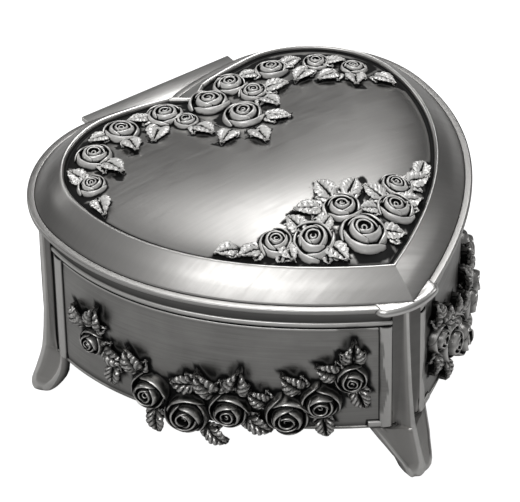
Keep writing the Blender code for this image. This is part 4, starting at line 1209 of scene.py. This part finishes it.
@dataclass(frozen=True)
class RosePattern:
    """The pattern of one cast rose, of unit radius, with a swirled bud and cupped petals."""

    rings: tuple[PetalRing, ...] = (
        PetalRing(1, 160.0, 0.17, 0.07, 0.10, 0.57, 0.00, 0.00, 20.0),
        PetalRing(2, 118.0, 0.38, 0.27, 0.05, 0.62, 0.02, 0.03, 70.0),
        PetalRing(3, 80.0, 0.67, 0.49, 0.00, 0.58, 0.03, 0.06, 10.0),
        PetalRing(3, 76.0, 1.00, 0.83, -0.20, 0.38, 0.10, 0.08, 75.0),
    )
    thickness: float = 0.10
    divisions: tuple[int, int] = (11, 5)
    turn_spread: float = 13.0
    bed_width: float = 0.74
    bed_height: float = 0.42
    seed: int = 0

    def petal(self, ring: PetalRing, index: int, rng: np.random.Generator) -> Object:
        """One petal, bent from a flat grid."""
        obj, unit = add_grid(self.divisions)
        u, v = unit[:, 0], (unit[:, 1] + 1) / 2
        spread = rng.uniform(-self.turn_spread, self.turn_spread)
        middle = math.radians(ring.turn + 360.0 * index / ring.count + spread)
        half = math.radians(ring.half_angle)
        angle = middle + half * u
        top = v * (1 - (0.34 + 0.26 * ring.base_out) * np.abs(u) ** 2.4) + ring.point * v ** 3 * (1 - np.abs(u)) ** 1.5
        tuck = 1 + 0.09 * u
        out = (ring.base_out + (ring.rim_out - ring.base_out) * np.clip(top, 0, 1.3) ** 1.7) * tuck
        lip = np.clip(top - 0.78, 0, None)
        out = out + ring.curl * lip * 2.4 + rng.uniform(-0.02, 0.02)
        up = ring.base_up + (ring.rim_up - ring.base_up) * (1 - (1 - np.clip(top, 0, 1)) ** 1.9)
        up = up - ring.curl * lip ** 2 * 5.0 + rng.uniform(-0.05, 0.04) * v
        set_points(obj, np.column_stack([out * np.cos(angle), out * np.sin(angle), up]))
        thicken(obj, self.thickness * (0.7 + 0.5 * ring.rim_out), 0.0)
        places = points_of(obj)
        reach = np.hypot(places[:, 0], places[:, 1])
        top = np.tile(np.clip(top, 0, 1), 2)
        inward = reach < np.tile(out, 2)
        # Inner faces stay dark up to the rim and outer faces darken towards the base, with the rims rubbed bright:
        # patina, with painted shade inside the cup.
        set_antique_and_shade(obj, np.where(inward, 1.25 - 1.55 * top ** 6, 0.85 - 1.5 * top ** 0.7))
        smooth = obj.modifiers.new("smooth", "SUBSURF")
        smooth.levels = smooth.render_levels = 1
        apply_modifiers(obj)
        return obj

    def build(self) -> Object:
        """The whole rose as one object at the origin."""
        rng = np.random.default_rng(self.seed)
        petals = [self.petal(ring, index, rng) for ring in self.rings for index in range(ring.count)]
        deselect_all()
        bpy.ops.mesh.primitive_uv_sphere_add(segments=24, ring_count=10, radius=1.0)
        bed = bpy.context.object
        unit = points_of(bed)
        unit[:, :2] *= self.bed_width
        unit[:, 2] *= np.where(unit[:, 2] > 0, self.bed_height, 0.1)
        set_points(bed, unit)
        # The bed is black where it shows between the petals: painted shade, with patina.
        set_antique_and_shade(bed, np.full(len(unit), 1.0))
        rose = join(f"rose_pattern_{self.seed}", [*petals, bed])
        shade(rose, 60)
        return rose


@dataclass(frozen=True)
class LeafPattern:
    """The pattern of one cast rose leaf, of unit length, serrated and veined."""

    half_width: float = 0.42
    teeth: int = 5
    tooth_start: float = 0.15
    rib_width: float = 0.11
    vein_width: float = 0.22
    vein_slant: float = 0.22
    camber: float = 0.20
    thickness: float = 0.09
    divisions: tuple[int, int] = (30, 10)

    def build(self) -> Object:
        """The leaf as one object, from its stalk at the origin to its point at x = 1."""
        obj, unit = add_grid(self.divisions)
        t, v = (unit[:, 0] + 1) / 2, unit[:, 1]
        a = np.abs(v)
        body = np.sin(np.pi * np.clip(t, 0, 1) ** 0.80) ** 0.70 * (1 - 0.20 * t)
        phase = (t * self.teeth + self.tooth_start) % 1.0
        lobe = np.sqrt(np.clip(1 - (2 * phase - 0.9) ** 2 * 0.8, 0, 1))
        width = self.half_width * np.maximum(body, 0.03) * (0.76 + 0.26 * lobe)
        x = t + 0.16 * width * a * np.sin(np.pi * t)
        y = v * width
        vein = np.abs(((t - self.vein_slant * a) * self.teeth + self.tooth_start) % 1.0 - 0.5) * 2
        rib = np.exp(-(a / self.rib_width) ** 2)
        hollow = np.exp(-((1 - vein) / self.vein_width) ** 2) * (1 - rib)
        puff = (1 - hollow) * np.sin(np.pi * np.clip(a, 0, 1)) ** 0.6
        z = self.camber * (0.45 + 0.55 * np.sin(np.pi * t)) * (0.55 + 0.45 * np.sin(np.pi * a / 1.5))
        z = z + 0.055 * puff - 0.085 * rib - 0.03 * hollow
        z = z * np.clip(t * 4, 0.25, 1) + 0.02 - 0.12 * np.clip(t - 0.8, 0, 1)
        set_points(obj, np.column_stack([x, y, z]))
        dark = -0.10 + 1.15 * rib * np.clip(1.5 - t, 0, 1) + 0.75 * hollow * np.clip(1.25 - a, 0, 1)
        # The stalk end is darkened where it lies under its rose: painted shade.
        dark = dark - 0.30 * puff + 1.2 * np.clip(0.20 - t, 0, 1) * 4
        set_antique_and_shade(obj, dark)
        thicken(obj, self.thickness, -1.0)
        obj.name = "leaf_pattern"
        shade(obj, 60)
        return obj


class Foliage:
    """The patterns that every spray copies."""

    def __init__(self, kinds: int = 3) -> None:
        """Models the patterns once: some kinds of rose, a leaf and a small leaf."""
        self.roses = [RosePattern(seed=seed).build() for seed in range(kinds)]
        self.leaf = LeafPattern().build()
        self.small_leaf = LeafPattern(teeth=3, divisions=(15, 8)).build()

    def clear(self) -> None:
        """Removes the patterns."""
        for obj in [*self.roses, self.leaf, self.small_leaf]:
            bpy.data.objects.remove(obj, do_unlink=True)


@dataclass(frozen=True)
class Spray:
    """One casting of roses and leaves.

    Places are surface lengths: x and y on the lid, or distance and height on the wall. A rose has its place
    and radius, and a leaf its place and share of leaf_length. A leaf grows from the nearest rose, or from a
    leaf before it, which counts as branching times as far.
    """

    name: str
    body: str
    roses: tuple[tuple[float, float, float], ...]
    leaves: tuple[tuple[float, float, float], ...]
    lay: Callable[[np.ndarray], np.ndarray]
    seed: int
    keep_in: Callable[[np.ndarray], np.ndarray]
    rise: float = 0.85
    leaf_length: float = 7.8
    rose_lift: float = 0.05
    stem_share: float = 0.45
    branching: float = 1.5
    flip: bool = False

    def put(self, pattern: Object, place: tuple[float, float], size: float, turn: float, up: float,
            tilt: tuple[float, float]) -> Object:
        """Lays a copy of a pattern of unit size on the surface.

        Args:
            pattern: The pattern.
            place: Surface lengths of its origin.
            size: Scale in millimetres.
            turn: Turn about the surface's normal, in radians.
            up: Height of its base over the surface.
            tilt: Slopes across its own x and y.

        Returns:
            The copy, with its place in its mesh.
        """
        obj = pattern.copy()
        obj.data = pattern.data.copy()
        bpy.context.scene.collection.objects.link(obj)
        p = points_of(obj) * size
        p[:, 2] = p[:, 2] * self.rise + up + p[:, 0] * tilt[0] + p[:, 1] * tilt[1]
        cos, sin = math.cos(turn), math.sin(turn)
        local = np.column_stack([place[0] + p[:, 0] * cos - p[:, 1] * sin,
                                 place[1] + p[:, 0] * sin + p[:, 1] * cos, p[:, 2]])
        local[:, :2] += self.keep_in(local)
        set_plan_points(obj, self.lay(local))
        return obj

    def build(self, foliage: Foliage, material: Material) -> Object:
        """Builds and dresses the spray: its roses, and leaves that grow away from the nearest stem."""
        rng = np.random.default_rng(self.seed)
        pieces = []
        for index, (a, b, r) in enumerate(self.roses):
            pattern = foliage.roses[(index + self.seed) % len(foliage.roses)]
            pieces.append(self.put(pattern, (a, b), r, rng.uniform(0, 6.28), self.rose_lift * r,
                                   (rng.uniform(-0.08, 0.08), rng.uniform(-0.08, 0.08))))
        stems = [(a, b, r * self.stem_share, 1.0) for a, b, r in self.roses]
        for a, b, size in self.leaves:
            x, y, radius, _ = min(stems, key=lambda stem: stem[3] * math.hypot(stem[0] - a, stem[1] - b))
            stems.append((a, b, 0.0, self.branching))
            turn = math.atan2(b - y, a - x)
            length = self.leaf_length * size
            start = max(math.hypot(a - x, b - y) - length * 0.5, radius * 0.8)
            pieces.append(self.put(foliage.leaf, (x + start * math.cos(turn), y + start * math.sin(turn)), length,
                                   turn, rng.uniform(0.0, 0.5),
                                   (rng.uniform(-0.02, 0.10), rng.uniform(-0.12, 0.12))))
            start *= 1.02
            for side in (-1, 1):
                aside = turn + side * rng.uniform(0.6, 0.95)
                pieces.append(self.put(foliage.small_leaf, (x + start * math.cos(turn), y + start * math.sin(turn)),
                                       length * rng.uniform(0.50, 0.64), aside, rng.uniform(-0.1, 0.2), (0.02, 0.0)))
        spray = join(self.name + "_dress", pieces)
        if self.flip:
            edit(spray, bpy.ops.mesh.flip_normals)
        return dress(spray, material, self.body, "polished_relief", self.name)


GARLAND_SEED = 21
FRONT_ROSES = ((0.0, -41.0, 6.0), (-12.4, -35.8, 5.4), (0.5, -30.6, 4.9), (13.2, -36.8, 4.8), (-20.0, -30.3, 4.2),
               (18.8, -29.7, 4.0))
FRONT_LEAVES = ((0.9, -22.4, 1.0), (7.3, -25.3, 1.0), (-6.8, -26.2, 1.0), (-12.9, -29.2, 0.9), (-6.6, -32.9, 0.8),
                (11.4, -30.0, 0.9), (6.6, -34.4, 0.7), (25.5, -30.0, 0.9), (29.4, -26.4, 0.8), (20.7, -38.2, 0.9),
                (8.1, -45.9, 0.9), (-27.6, -28.9, 0.8), (-33.6, -26.2, 0.8), (-22.2, -38.1, 0.9),
                (-11.1, -44.7, 1.0))
REAR_ROSES = ((-43.8, 18.9, 3.7), (-36.4, 28.9, 4.7), (-24.4, 33.9, 4.8), (-11.0, 33.2, 4.7), (-8.4, 27.2, 3.3),
              (1.2, 30.5, 5.2), (4.4, 19.0, 5.2), (10.8, 34.4, 4.5), (13.4, 27.2, 3.7), (23.7, 33.4, 4.3),
              (35.1, 28.6, 3.5), (41.9, 20.6, 3.5))
REAR_LEAVES = ((-46.6, 10.4, 0.9), (-35.4, 21.4, 1.0), (-26.0, 26.6, 0.9), (-44.5, 25.0, 0.8), (-17.6, 27.2, 1.0),
               (-30.8, 34.6, 0.8), (-17.4, 36.0, 0.8), (-7.2, 20.4, 0.9), (-4.8, 13.2, 0.9), (2.4, 8.1, 1.0),
               (11.1, 12.8, 0.9), (13.8, 19.8, 0.9), (19.2, 25.2, 0.9), (17.4, 35.0, 0.8), (28.5, 25.4, 1.0),
               (30.0, 33.4, 0.8), (33.6, 20.4, 0.9), (39.4, 26.4, 0.8), (38.7, 15.4, 0.9), (45.3, 11.5, 0.9))
GARLAND_ROSES = ((14.6, 33.0, 4.1), (22.6, 25.6, 5.2), (31.0, 21.2, 5.8), (46.2, 20.8, 5.1), (57.2, 17.6, 5.6),
                 (67.8, 21.8, 5.0), (85.8, 29.6, 3.6))
GARLAND_LEAVES = ((14.2, 41.5, 1.0), (12.4, 26.5, 0.9), (20.4, 35.6, 0.95), (29.5, 31.4, 1.0), (21.5, 17.4, 0.85),
                  (38.6, 17.0, 1.0), (38.2, 25.8, 0.9), (44.0, 30.4, 1.1), (52.0, 28.4, 1.1), (58.0, 27.4, 1.0),
                  (49.7, 11.6, 0.9), (66.2, 12.0, 0.9), (72.5, 29.6, 1.0), (78.8, 28.6, 0.95), (78.6, 22.6, 0.8),
                  (84.6, 37.8, 1.0), (90.6, 35.6, 0.9))


@dataclass(frozen=True)
class Linings:
    """Velvet pads and strip, and the felt."""

    inner: float = 5.3
    strip_inner: float = 6.4
    strip_drop: float = 3.0
    pad_gap: float = 1.4
    pad_low: float = 18.3
    pad_side: float = 2.9
    pad_crown: float = 0.7
    lid_pad_inset: float = 7.8

    @staticmethod
    def pad(name: str, node: str, body: str, material: Material, rings: Sequence[np.ndarray]) -> None:
        """A crowned pad through rings."""
        piece = sweep(name, [(ring, 0.0) for ring in rings], angle=60)
        dress(piece, material, body, "dark_velvet", node)

    def build(self, velvet: Material, felt: Material) -> None:
        """Builds the pads, the strip and the felt."""
        edge, low = self.inner + self.pad_gap, self.pad_low
        rings = [wall_ring(edge + more, low + z)
                 for more, z in ((0.3, 0.0), (0.0, 0.4), (0.0, 1.9), (0.3, 2.5), (0.9, self.pad_side))]
        for share in (0.93, 0.85, 0.7, 0.5, 0.3, 0.1):
            top = low + self.pad_side + self.pad_crown * (1 - share ** 3)
            rings.append(wall_ring(edge + 0.9, top) * [share, share, 1])
        self.pad("floor_pad_dress", "floor_pad", "box", velvet, rings)
        deep = self.lid_pad_inset
        rings = [HEART.ring(inset, z) * [share, share, 1]
                 for inset, share, z in ((deep, 0.1, 54.7), (deep, 0.5, 54.72), (deep, 0.8, 54.8), (7.0, 1, 54.95),
                                         (6.3, 1, 55.15), (6.0, 1, 55.5), (6.0, 1, 56.1), (deep, 1, 57.2))]
        self.pad("lid_pad_dress", "lid_lining_pad", "lid", velvet, rings)
        top = RIM_Z - self.strip_drop
        corners = [Station(self.inner, low), Station(self.inner, top, 0.3), Station(self.strip_inner, top, 0.3),
                   Station(self.strip_inner, low), Station(self.inner, low)]
        piece = sweep("wall_lining_dress", [(wall_ring(row.inset, row.height), 0.0)
                                            for row in rounded(corners, longest=4.0)], filled=False, welded=True)
        dress(piece, velvet, "box", "dark_velvet", "wall_lining")
        self.felt(felt)

    @staticmethod
    def felt(material: Material) -> None:
        """The felt that is glued under the bottom plate."""
        low, high = (np.array(corner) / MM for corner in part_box("underside_felt"))
        inset = HEART.half_width - float(high[0])
        low_z, high_z = float(low[2]), float(high[2])
        rows = ((0.3, low_z), (0.05, low_z + 0.08), (0.0, (low_z + high_z) / 2), (0.05, high_z - 0.08), (0.3, high_z))
        piece = sweep("underside_felt_dress", [(wall_ring(inset + more, z), 0.0) for more, z in rows], capped=True,
                      angle=60)
        dress(piece, material, "box", "black_felt", "underside_felt")
        plan = wall_ring(inset, 0.0)[:, :2] * MM


def direction(azimuth: float, elevation: float) -> Vector:
    """Unit vector from the box towards an azimuth, counted from its front, and an elevation."""
    a, e = math.radians(azimuth), math.radians(elevation)
    return Vector((math.sin(a) * math.cos(e), -math.cos(a) * math.cos(e), math.sin(e)))


@dataclass(frozen=True)
class Softbox:
    """A studio light, aimed at the box from an azimuth and elevation. Its lengths are in metres."""

    name: str
    azimuth: float
    elevation: float
    distance: float
    width: float
    height: float
    power: float
    aim_z: float = 0.04

    def build(self) -> None:
        """Adds the light."""
        away = direction(self.azimuth, self.elevation)
        data = bpy.data.lights.new(self.name, "AREA")
        data.shape = "RECTANGLE"
        data.size = self.width
        data.size_y = self.height
        data.energy = self.power
        light = bpy.data.objects.new(self.name, data)
        light.location = Vector((0, 0, self.aim_z)) + away * self.distance
        light.rotation_mode = "QUATERNION"
        light.rotation_quaternion = away.to_track_quat("Z", "Y")
        bpy.context.scene.collection.objects.link(light)


@dataclass(frozen=True)
class Studio:
    """Camera, lights, world and floor."""

    azimuth: float = -34.62
    elevation: float = 38.11
    roll: float = -1.155
    distance: float = 1060.4
    focal_px: float = 4009.8
    frame_px: float = 520.0
    sensor: float = 36.0
    target: tuple[float, float, float] = (-5.684, -2.215, 37.849)
    softboxes: tuple[Softbox, ...] = (
        Softbox("front_left", -60.0, 53.0, 1.1, 0.60, 0.40, 2.6),
        Softbox("back_top", 134.0, 58.5, 1.2, 0.45, 0.62, 4.3),
        Softbox("right_fill", 76.0, 28.0, 1.3, 0.30, 0.30, 0.9),
        Softbox("left_fill", -163.0, 30.0, 1.3, 0.45, 0.40, 1.0),
    )
    floor_glow: float = 0.05
    sky_low: float = 0.07
    sky_high: float = 0.40
    sky_azimuth: float = -60.0
    sky_elevation: float = 62.0
    sky_span: tuple[float, float] = (0.1, 1.0)
    floor_size: float = 6.0
    paper: tuple[float, float, float, float] = (0.55, 0.55, 0.55, 1.0)

    def sky(self) -> None:
        """A dim room with a bright quarter, for the metal to reflect."""
        world = bpy.data.worlds.new("studio")
        world.use_nodes = True
        tree = world.node_tree
        towards = direction(self.sky_azimuth, self.sky_elevation)
        place = add_node(tree, "TexCoord").outputs["Generated"]
        near = add_node(tree, "VectorMath", {0: place, 1: towards}, operation="DOT_PRODUCT").outputs["Value"]
        feed(tree, tree.nodes["Background"],
             {"Color": WHITE,
              "Strength": add_range(tree, near, self.sky_span, (self.sky_low, self.sky_high), smooth=True)})
        bpy.context.scene.world = world

    def camera(self) -> None:
        """Adds the camera at the photograph's angle."""
        a, r = math.radians(self.azimuth), math.radians(self.roll)
        back = direction(self.azimuth, self.elevation)
        right = Vector((math.cos(a), math.sin(a), 0.0))
        up = back.cross(right)
        right, up = right * math.cos(r) + up * math.sin(r), up * math.cos(r) - right * math.sin(r)
        data = bpy.data.cameras.new("camera")
        data.sensor_fit = "HORIZONTAL"
        data.sensor_width = self.sensor
        data.lens = self.focal_px / self.frame_px * self.sensor
        data.clip_start, data.clip_end = 0.05, 20.0
        camera = bpy.data.objects.new("camera", data)
        place = Vector(self.target) + Vector((0, HEART.shift, 0)) + back * self.distance
        rotation = Matrix((right, up, back)).transposed().to_4x4()
        camera.matrix_world = Matrix.Translation(place * MM) @ rotation
        bpy.context.scene.collection.objects.link(camera)
        bpy.context.scene.camera = camera

    def build(self) -> None:
        """Adds the lights, the world and the floor."""
        self.camera()
        for softbox in self.softboxes:
            softbox.build()
        self.sky()
        bpy.context.scene.view_settings.view_transform = "Standard"
        deselect_all()
        bpy.ops.mesh.primitive_plane_add(size=self.floor_size, location=(0, 0, 0))
        floor = bpy.context.object
        floor.name = "floor"
        material, tree, shader = new_material("floor_paper")
        seen = add_node(tree, "LightPath").outputs["Is Camera Ray"]
        glow = add_node(tree, "Mix", {0: seen, 6: (*[self.floor_glow] * 3, 1.0), 7: WHITE},
                        data_type="RGBA").outputs[2]
        feed(tree, shader, {"Base Color": self.paper, "Roughness": 0.9, "Emission Color": glow,
                            "Emission Strength": 1.0})
        floor.data.materials.append(material)


def side_foot_place(turn: float = 14.0) -> tuple[tuple[float, float], tuple[float, float]]:
    """Where the right foot meets the wall, and the wall's normal there."""
    half = HEART.half(WALL_INSET, TipShape.FLAT, RearShape.STRAIGHT)[::-1]
    runs = np.diff(half, axis=0)
    angle = np.degrees(np.arctan2(-runs[:, 0], runs[:, 1]))
    index = int(np.argmax(angle > turn))
    run = runs[index] / np.hypot(*runs[index])
    return tuple(half[index]), (float(run[1]), float(-run[0]))


def make_feet() -> list[BracketFoot]:
    """The four feet. Each falls back from its middle as the wall does."""
    front_y = float(HEART.half(WALL_INSET, TipShape.FLAT)[-1, 1])
    slope = math.tan(math.radians(HEART.tip_slope))
    (x, y), (out_x, out_y) = side_foot_place()
    feet = [BracketFoot("front_foot", (0.0, front_y), (0.0, -1.0), FRONT_FOOT, FRONT_SHAFT,
                        FRONT_TOP_Z, lambda s: np.maximum(s - HEART.corner_half_width, 0.0) * slope)]
    for side in (Side.RIGHT, Side.LEFT):
        feet.append(BracketFoot(f"{side.name.lower()}_foot", (side.value * x, y), (side.value * out_x, out_y),
                                SIDE_FOOT, SIDE_SHAFT, SIDE_TOP_Z, lambda s: SIDE_WALL_FALL * s * s))
    feet.append(BracketFoot("rear_foot", (0.0, HEART.lobe_rear_y - WALL_INSET), (0.0, 1.0), SIDE_FOOT, SIDE_SHAFT,
                            REAR_TOP_Z, np.zeros_like))
    return feet


LID_PEWTER = Pewter("lid_pewter", (0.46, 0.452, 0.44), roughness=0.33, streak_scale=(1.0, 14.0, 1.0),
                    streak_turn=(0.0, 0.0, 0.5), variation=0.10, bump=0.06)
# A darker copy of the lid's pewter for the upright wall: painted shade.
WALL_SHADED_PEWTER = Pewter("wall_shaded_pewter", (0.34, 0.335, 0.325), roughness=0.36, variation=0.18, bump=0.16)
FOOT_PEWTER = Pewter("foot_pewter", (0.45, 0.44, 0.425), streak_scale=(1.0, 1.0, 6.0), variation=0.12, bump=0.10)
RELIEF_PEWTER = Pewter("relief_pewter", (0.93, 0.92, 0.90), (0.98, 0.97, 0.95), roughness=0.32,
                       streak_scale=(3.0, 3.0, 3.0), mottle_scale=500.0, variation=0.08, breakup=0.2, bump=0.05,
                       shine=0.42)
# A dark copy of the relief's pewter for the garlands on the upright wall: painted shade, with rubbed rims.
GARLAND_SHADED_PEWTER = Pewter("garland_shaded_pewter", (0.26, 0.255, 0.248), (0.76, 0.75, 0.73), roughness=0.30,
                        streak_scale=(3.0, 3.0, 3.0), mottle_scale=500.0, variation=0.12, breakup=0.25, bump=0.06)
HINGE_PEWTER = Pewter("hinge_plate", (0.45, 0.44, 0.42), roughness=0.3, streak_scale=(20.0, 1.0, 1.0))
VELVET = Pile("velvet_navy", (0.012, 0.014, 0.022))
FELT = Pile("felt_black", (0.012, 0.012, 0.012), sheen=0.3)
PLATE_NODES = ("body_hinge_leaf", "lid_hinge_leaf", "hinge_pin", "body_rivet_left", "body_rivet_right",
               "lid_rivet_left", "lid_rivet_right", "bottom_plate")


def main() -> None:
    """Builds every piece and the studio."""
    logging.basicConfig(level=logging.INFO, format="%(name)s %(message)s")
    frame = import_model()

    dome = DomeSurface()
    foliage = Foliage()
    relief_finish, garland_shaded_finish = RELIEF_PEWTER.material(), GARLAND_SHADED_PEWTER.material()
    lid_relief = [Spray(name, "lid", roses, leaves, dome.lay, seed, dome.keep_in).build(foliage, relief_finish)
                  for name, roses, leaves, seed in (("lid_front_spray", FRONT_ROSES, FRONT_LEAVES, 3),
                                                    ("lid_rear_spray", REAR_ROSES, REAR_LEAVES, 11))]
    wall_relief = []
    for side in Side:
        wall = WallSurface(side)
        spray = Spray(f"{side.name.lower()}_garland", "box", GARLAND_ROSES, GARLAND_LEAVES, wall.lay,
                      GARLAND_SEED + side.value, wall.keep_in, rise=1.5, flip=side is Side.LEFT)
        wall_relief.append(spray.build(foliage, garland_shaded_finish))
    foliage.clear()

    lid_shell = LidShell(dome).build(LID_PEWTER.material())
    wall_shell = BoxWall().build(WALL_SHADED_PEWTER.material())
    foot_finish = FOOT_PEWTER.material()
    feet = [foot.build(foot_finish) for foot in make_feet()]

    # Patina and painted shade in the hollows, baked from how shut in each vertex is.
    for pieces in ([lid_shell, *lid_relief], [wall_shell, *wall_relief, *feet]):
        Crevices().bake(pieces)
    # Patina and painted shade round the relief, on the lid and on the wall.
    Halo().bake(lid_shell, lid_relief, dome.patina_and_shade)
    Halo().bake(wall_shell, wall_relief, WallSurface.patina_and_shade)

    Linings().build(VELVET.material(), FELT.material())
    hinge_finish = HINGE_PEWTER.material()
    for name in PLATE_NODES:
        node = frame["nodes"][name]
        node.data.materials.clear()
        node.data.materials.append(hinge_finish)
    Studio().build()


if __name__ == "__main__":
    main()
